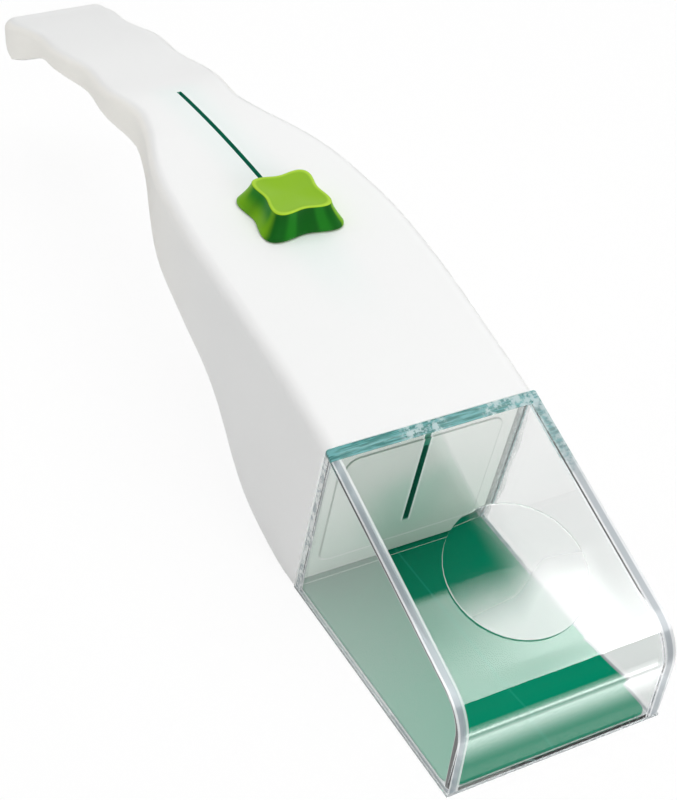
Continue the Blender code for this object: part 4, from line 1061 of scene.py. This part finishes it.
def make_pieces():
    """Every piece of the catcher, with its finish, its body and the CAD nodes that it stands for."""
    white, film, steel = housing_white(), sheet_green(), screw_steel()
    rigid = (
        ("clear_chamber", "catch_chamber", chamber_clear(), "clear_plastic"),
        ("clear_lens_disc", "magnifier_lens", lens_clear(), "lens_plastic"),
        ("clear_rim", "guide_frame", rim_clear(), "clear_plastic"),
        ("white_shell", "housing_shell", white, "white_plastic"),
        ("white_base", "housing_base", white, "white_plastic"),
        ("white_bulkhead", "front_bulkhead", bulkhead_white(), "white_plastic"),
    )
    for name, node, finish, slot in rigid:
        carried(welded(name, node, finish), slot, node)
    # The housing holds the strip's rear end and the tongue's lower end
    strip = welded("green_strip", "slot_cover_strip", slide_green("strip_green", (0.012, 0.55, 0.34)))
    bent(strip, "green_plastic", "slot_cover_strip")
    tongue = welded("green_tongue", "sheet_tongue", film)
    bent(tongue, "green_sheet", "sheet_tongue")
    make_button(button_lime())
    make_screws(steel)
    make_studs(steel)
    track_white = inner_white()
    give(nodes["left_sheet_track"].data, track_white)
    give(nodes["right_sheet_track"].data, track_white)
    give(nodes["button_pin"].data, steel)
    give(nodes["slide_carriage"].data, slide_green("carriage_green", (0.008, 0.11, 0.06)))
    sheet = carried(welded("green_sheet", "closing_sheet", film), "green_sheet", "closing_sheet")
    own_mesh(sheet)


def add_camera():
    """Camera at the photo's place, turned by its azimuth, elevation and roll."""
    camera = bpy.data.cameras.new("photo_camera")
    camera.lens = CAMERA_LENS
    made = linked("photo_camera", camera)
    azimuth_cosine, azimuth_sine = math.cos(CAMERA_AZIMUTH), math.sin(CAMERA_AZIMUTH)
    level = math.cos(CAMERA_ELEVATION)
    back = Vector((azimuth_sine * level, -azimuth_cosine * level, math.sin(CAMERA_ELEVATION)))
    right = Vector((azimuth_cosine, azimuth_sine, 0.0))
    up = back.cross(right)
    rolled_right = right * math.cos(CAMERA_ROLL) + up * math.sin(CAMERA_ROLL)
    rolled_up = up * math.cos(CAMERA_ROLL) - right * math.sin(CAMERA_ROLL)
    turn = Matrix((rolled_right, rolled_up, back)).transposed().to_4x4()
    made.matrix_world = Matrix.Translation(CAMERA_PLACE) @ turn
    bpy.context.scene.camera = made


def floor_finish():
    """Floor that shows white, keeps the soft shadow and glares in front of the catcher."""
    finish = Finish("floor_white", (0.98, 0.98, 0.975), 0.9)
    x, y, _ = finish.place()
    # What polished plastic mirrors: the glare in front, a dimmer floor further back, and a bright
    # one beside the left wall
    ahead = (GLARE_PLACE - y).larger(0.0) / GLARE_REACH
    close = y.ramp(GLARE_PLACE, GLARE_PLACE + GLARE_DEPTH)
    fading = (ahead + 1) ** -2.0 * ahead.fall(*GLARE_FADE)
    beside = x.fall(*LEFT_OF_WALL) * y.ramp(*LEFT_FADE).between(*LEFT_LEVELS)
    mirrored = fading * FLOOR_GLARE * (1 - close) + close * FLOOR_MIRRORED + beside
    # The front wall's inner face mirrors the floor in front too
    reflected = finish.reflected_rays()
    through = finish.rays("Transmission") * (1 - reflected)
    mirror = reflected.larger(through * finish.once_reflected() * y.fall(*FRONT_FACE))
    strength = mirror * mirrored + (1 - mirror) * (1 - through * FLOOR_DIMMED)
    glow = finish.node("ShaderNodeEmission", {}, {"Strength": strength})
    seen = (finish.rays("Camera") * FLOOR_GLOW).larger(finish.rays("Glossy", "Transmission"))
    finish.blend_shaders(seen, finish.surface, glow.socket)
    # From below the floor can be seen through
    from_below = finish.node("ShaderNodeNewGeometry", output="Backfacing")
    clear = finish.node("ShaderNodeBsdfTransparent")
    finish.blend_shaders(from_below, finish.surface, clear.socket)
    return finish.material


def add_floor():
    half, level = FLOOR_HALF, FLOOR_LEVEL
    data = bpy.data.meshes.new("studio_floor")
    corners = [(-half, -half, level), (half, -half, level), (half, half, level), (-half, half, level)]
    data.from_pydata(corners, [], [(0, 1, 2, 3)])
    data.materials.append(floor_finish())
    linked("studio_floor", data)


def add_lamp(name, place, target, size, power):
    """Softbox that lights the catcher but isn't mirrored in it."""
    lamp = bpy.data.lights.new(name, "AREA")
    lamp.shape = "RECTANGLE"
    lamp.size, lamp.size_y = size
    lamp.energy = power
    made = linked(name, lamp)
    made.location = place
    made.visible_glossy = made.visible_transmission = False
    made.rotation_euler = (Vector(target) - Vector(place)).to_track_quat("-Z", "Y").to_euler()


def panel_light(x, y, z):
    """Level of the light panels overhead, in a direction given by its three parts."""
    height = z.larger(FLATTEST)
    along = y / height
    slanted = x / height + along * SLANT
    in_rear = along.ramp(*REAR_LIGHT_START)
    rear = slanted.ramp(*REAR_LIGHT_EDGE) * in_rear * REAR_LIGHT
    front = slanted.ramp(*FRONT_LIGHT_EDGE).between(*FRONT_LIGHT) * (1 - in_rear)
    dimmed = slanted.ramp(*DIM_EDGE) * along.ramp(*DIM_START) * DIM_SHARE
    front = front * (1 - dimmed) + along.fall(*NEAR_LIGHT_END) * NEAR_LIGHT
    return (rear + front) * along.ramp(*LIGHTS_START) * z.ramp(*LIGHTS_RISE) * x.ramp(*LIGHTS_LEFT)


def add_world():
    """Even studio light, with bright panels overhead that polished plastic mirrors."""
    world = bpy.data.worlds.new("studio")
    world.use_nodes = True
    bpy.context.scene.world = world
    studio = Nodes(world.node_tree)
    x, y, z = studio.parts(studio.node("ShaderNodeTexCoord", output="Generated"))
    mirrored = panel_light(x, y, z) + SKY_MIRRORED + x.fall(*LEFT_GLOW_EDGE) * LEFT_GLOW
    trapped = studio.once_reflected() * TRAPPED_SHARE
    behind_glass = z.ramp(*SKY_RISE).between(1.0, SKY_BEHIND_GLASS) * (1 - trapped)
    seen, reflected = studio.rays("Camera"), studio.reflected_rays()
    transmitted = studio.rays("Transmission")
    others = 1 - reflected.larger(transmitted).larger(seen)
    strength = reflected * mirrored + transmitted * behind_glass + seen + others * SKY_LEVEL
    background = studio.tree.nodes["Background"]
    background.inputs["Color"].default_value = (1.0, 1.0, 1.0, 1.0)
    studio.tree.links.new(strength.socket, background.inputs["Strength"])


make_pieces()
add_camera()
add_floor()
add_world()
for lamp in LAMPS:
    add_lamp(*lamp)
bpy.context.scene.view_settings.view_transform = "Standard"
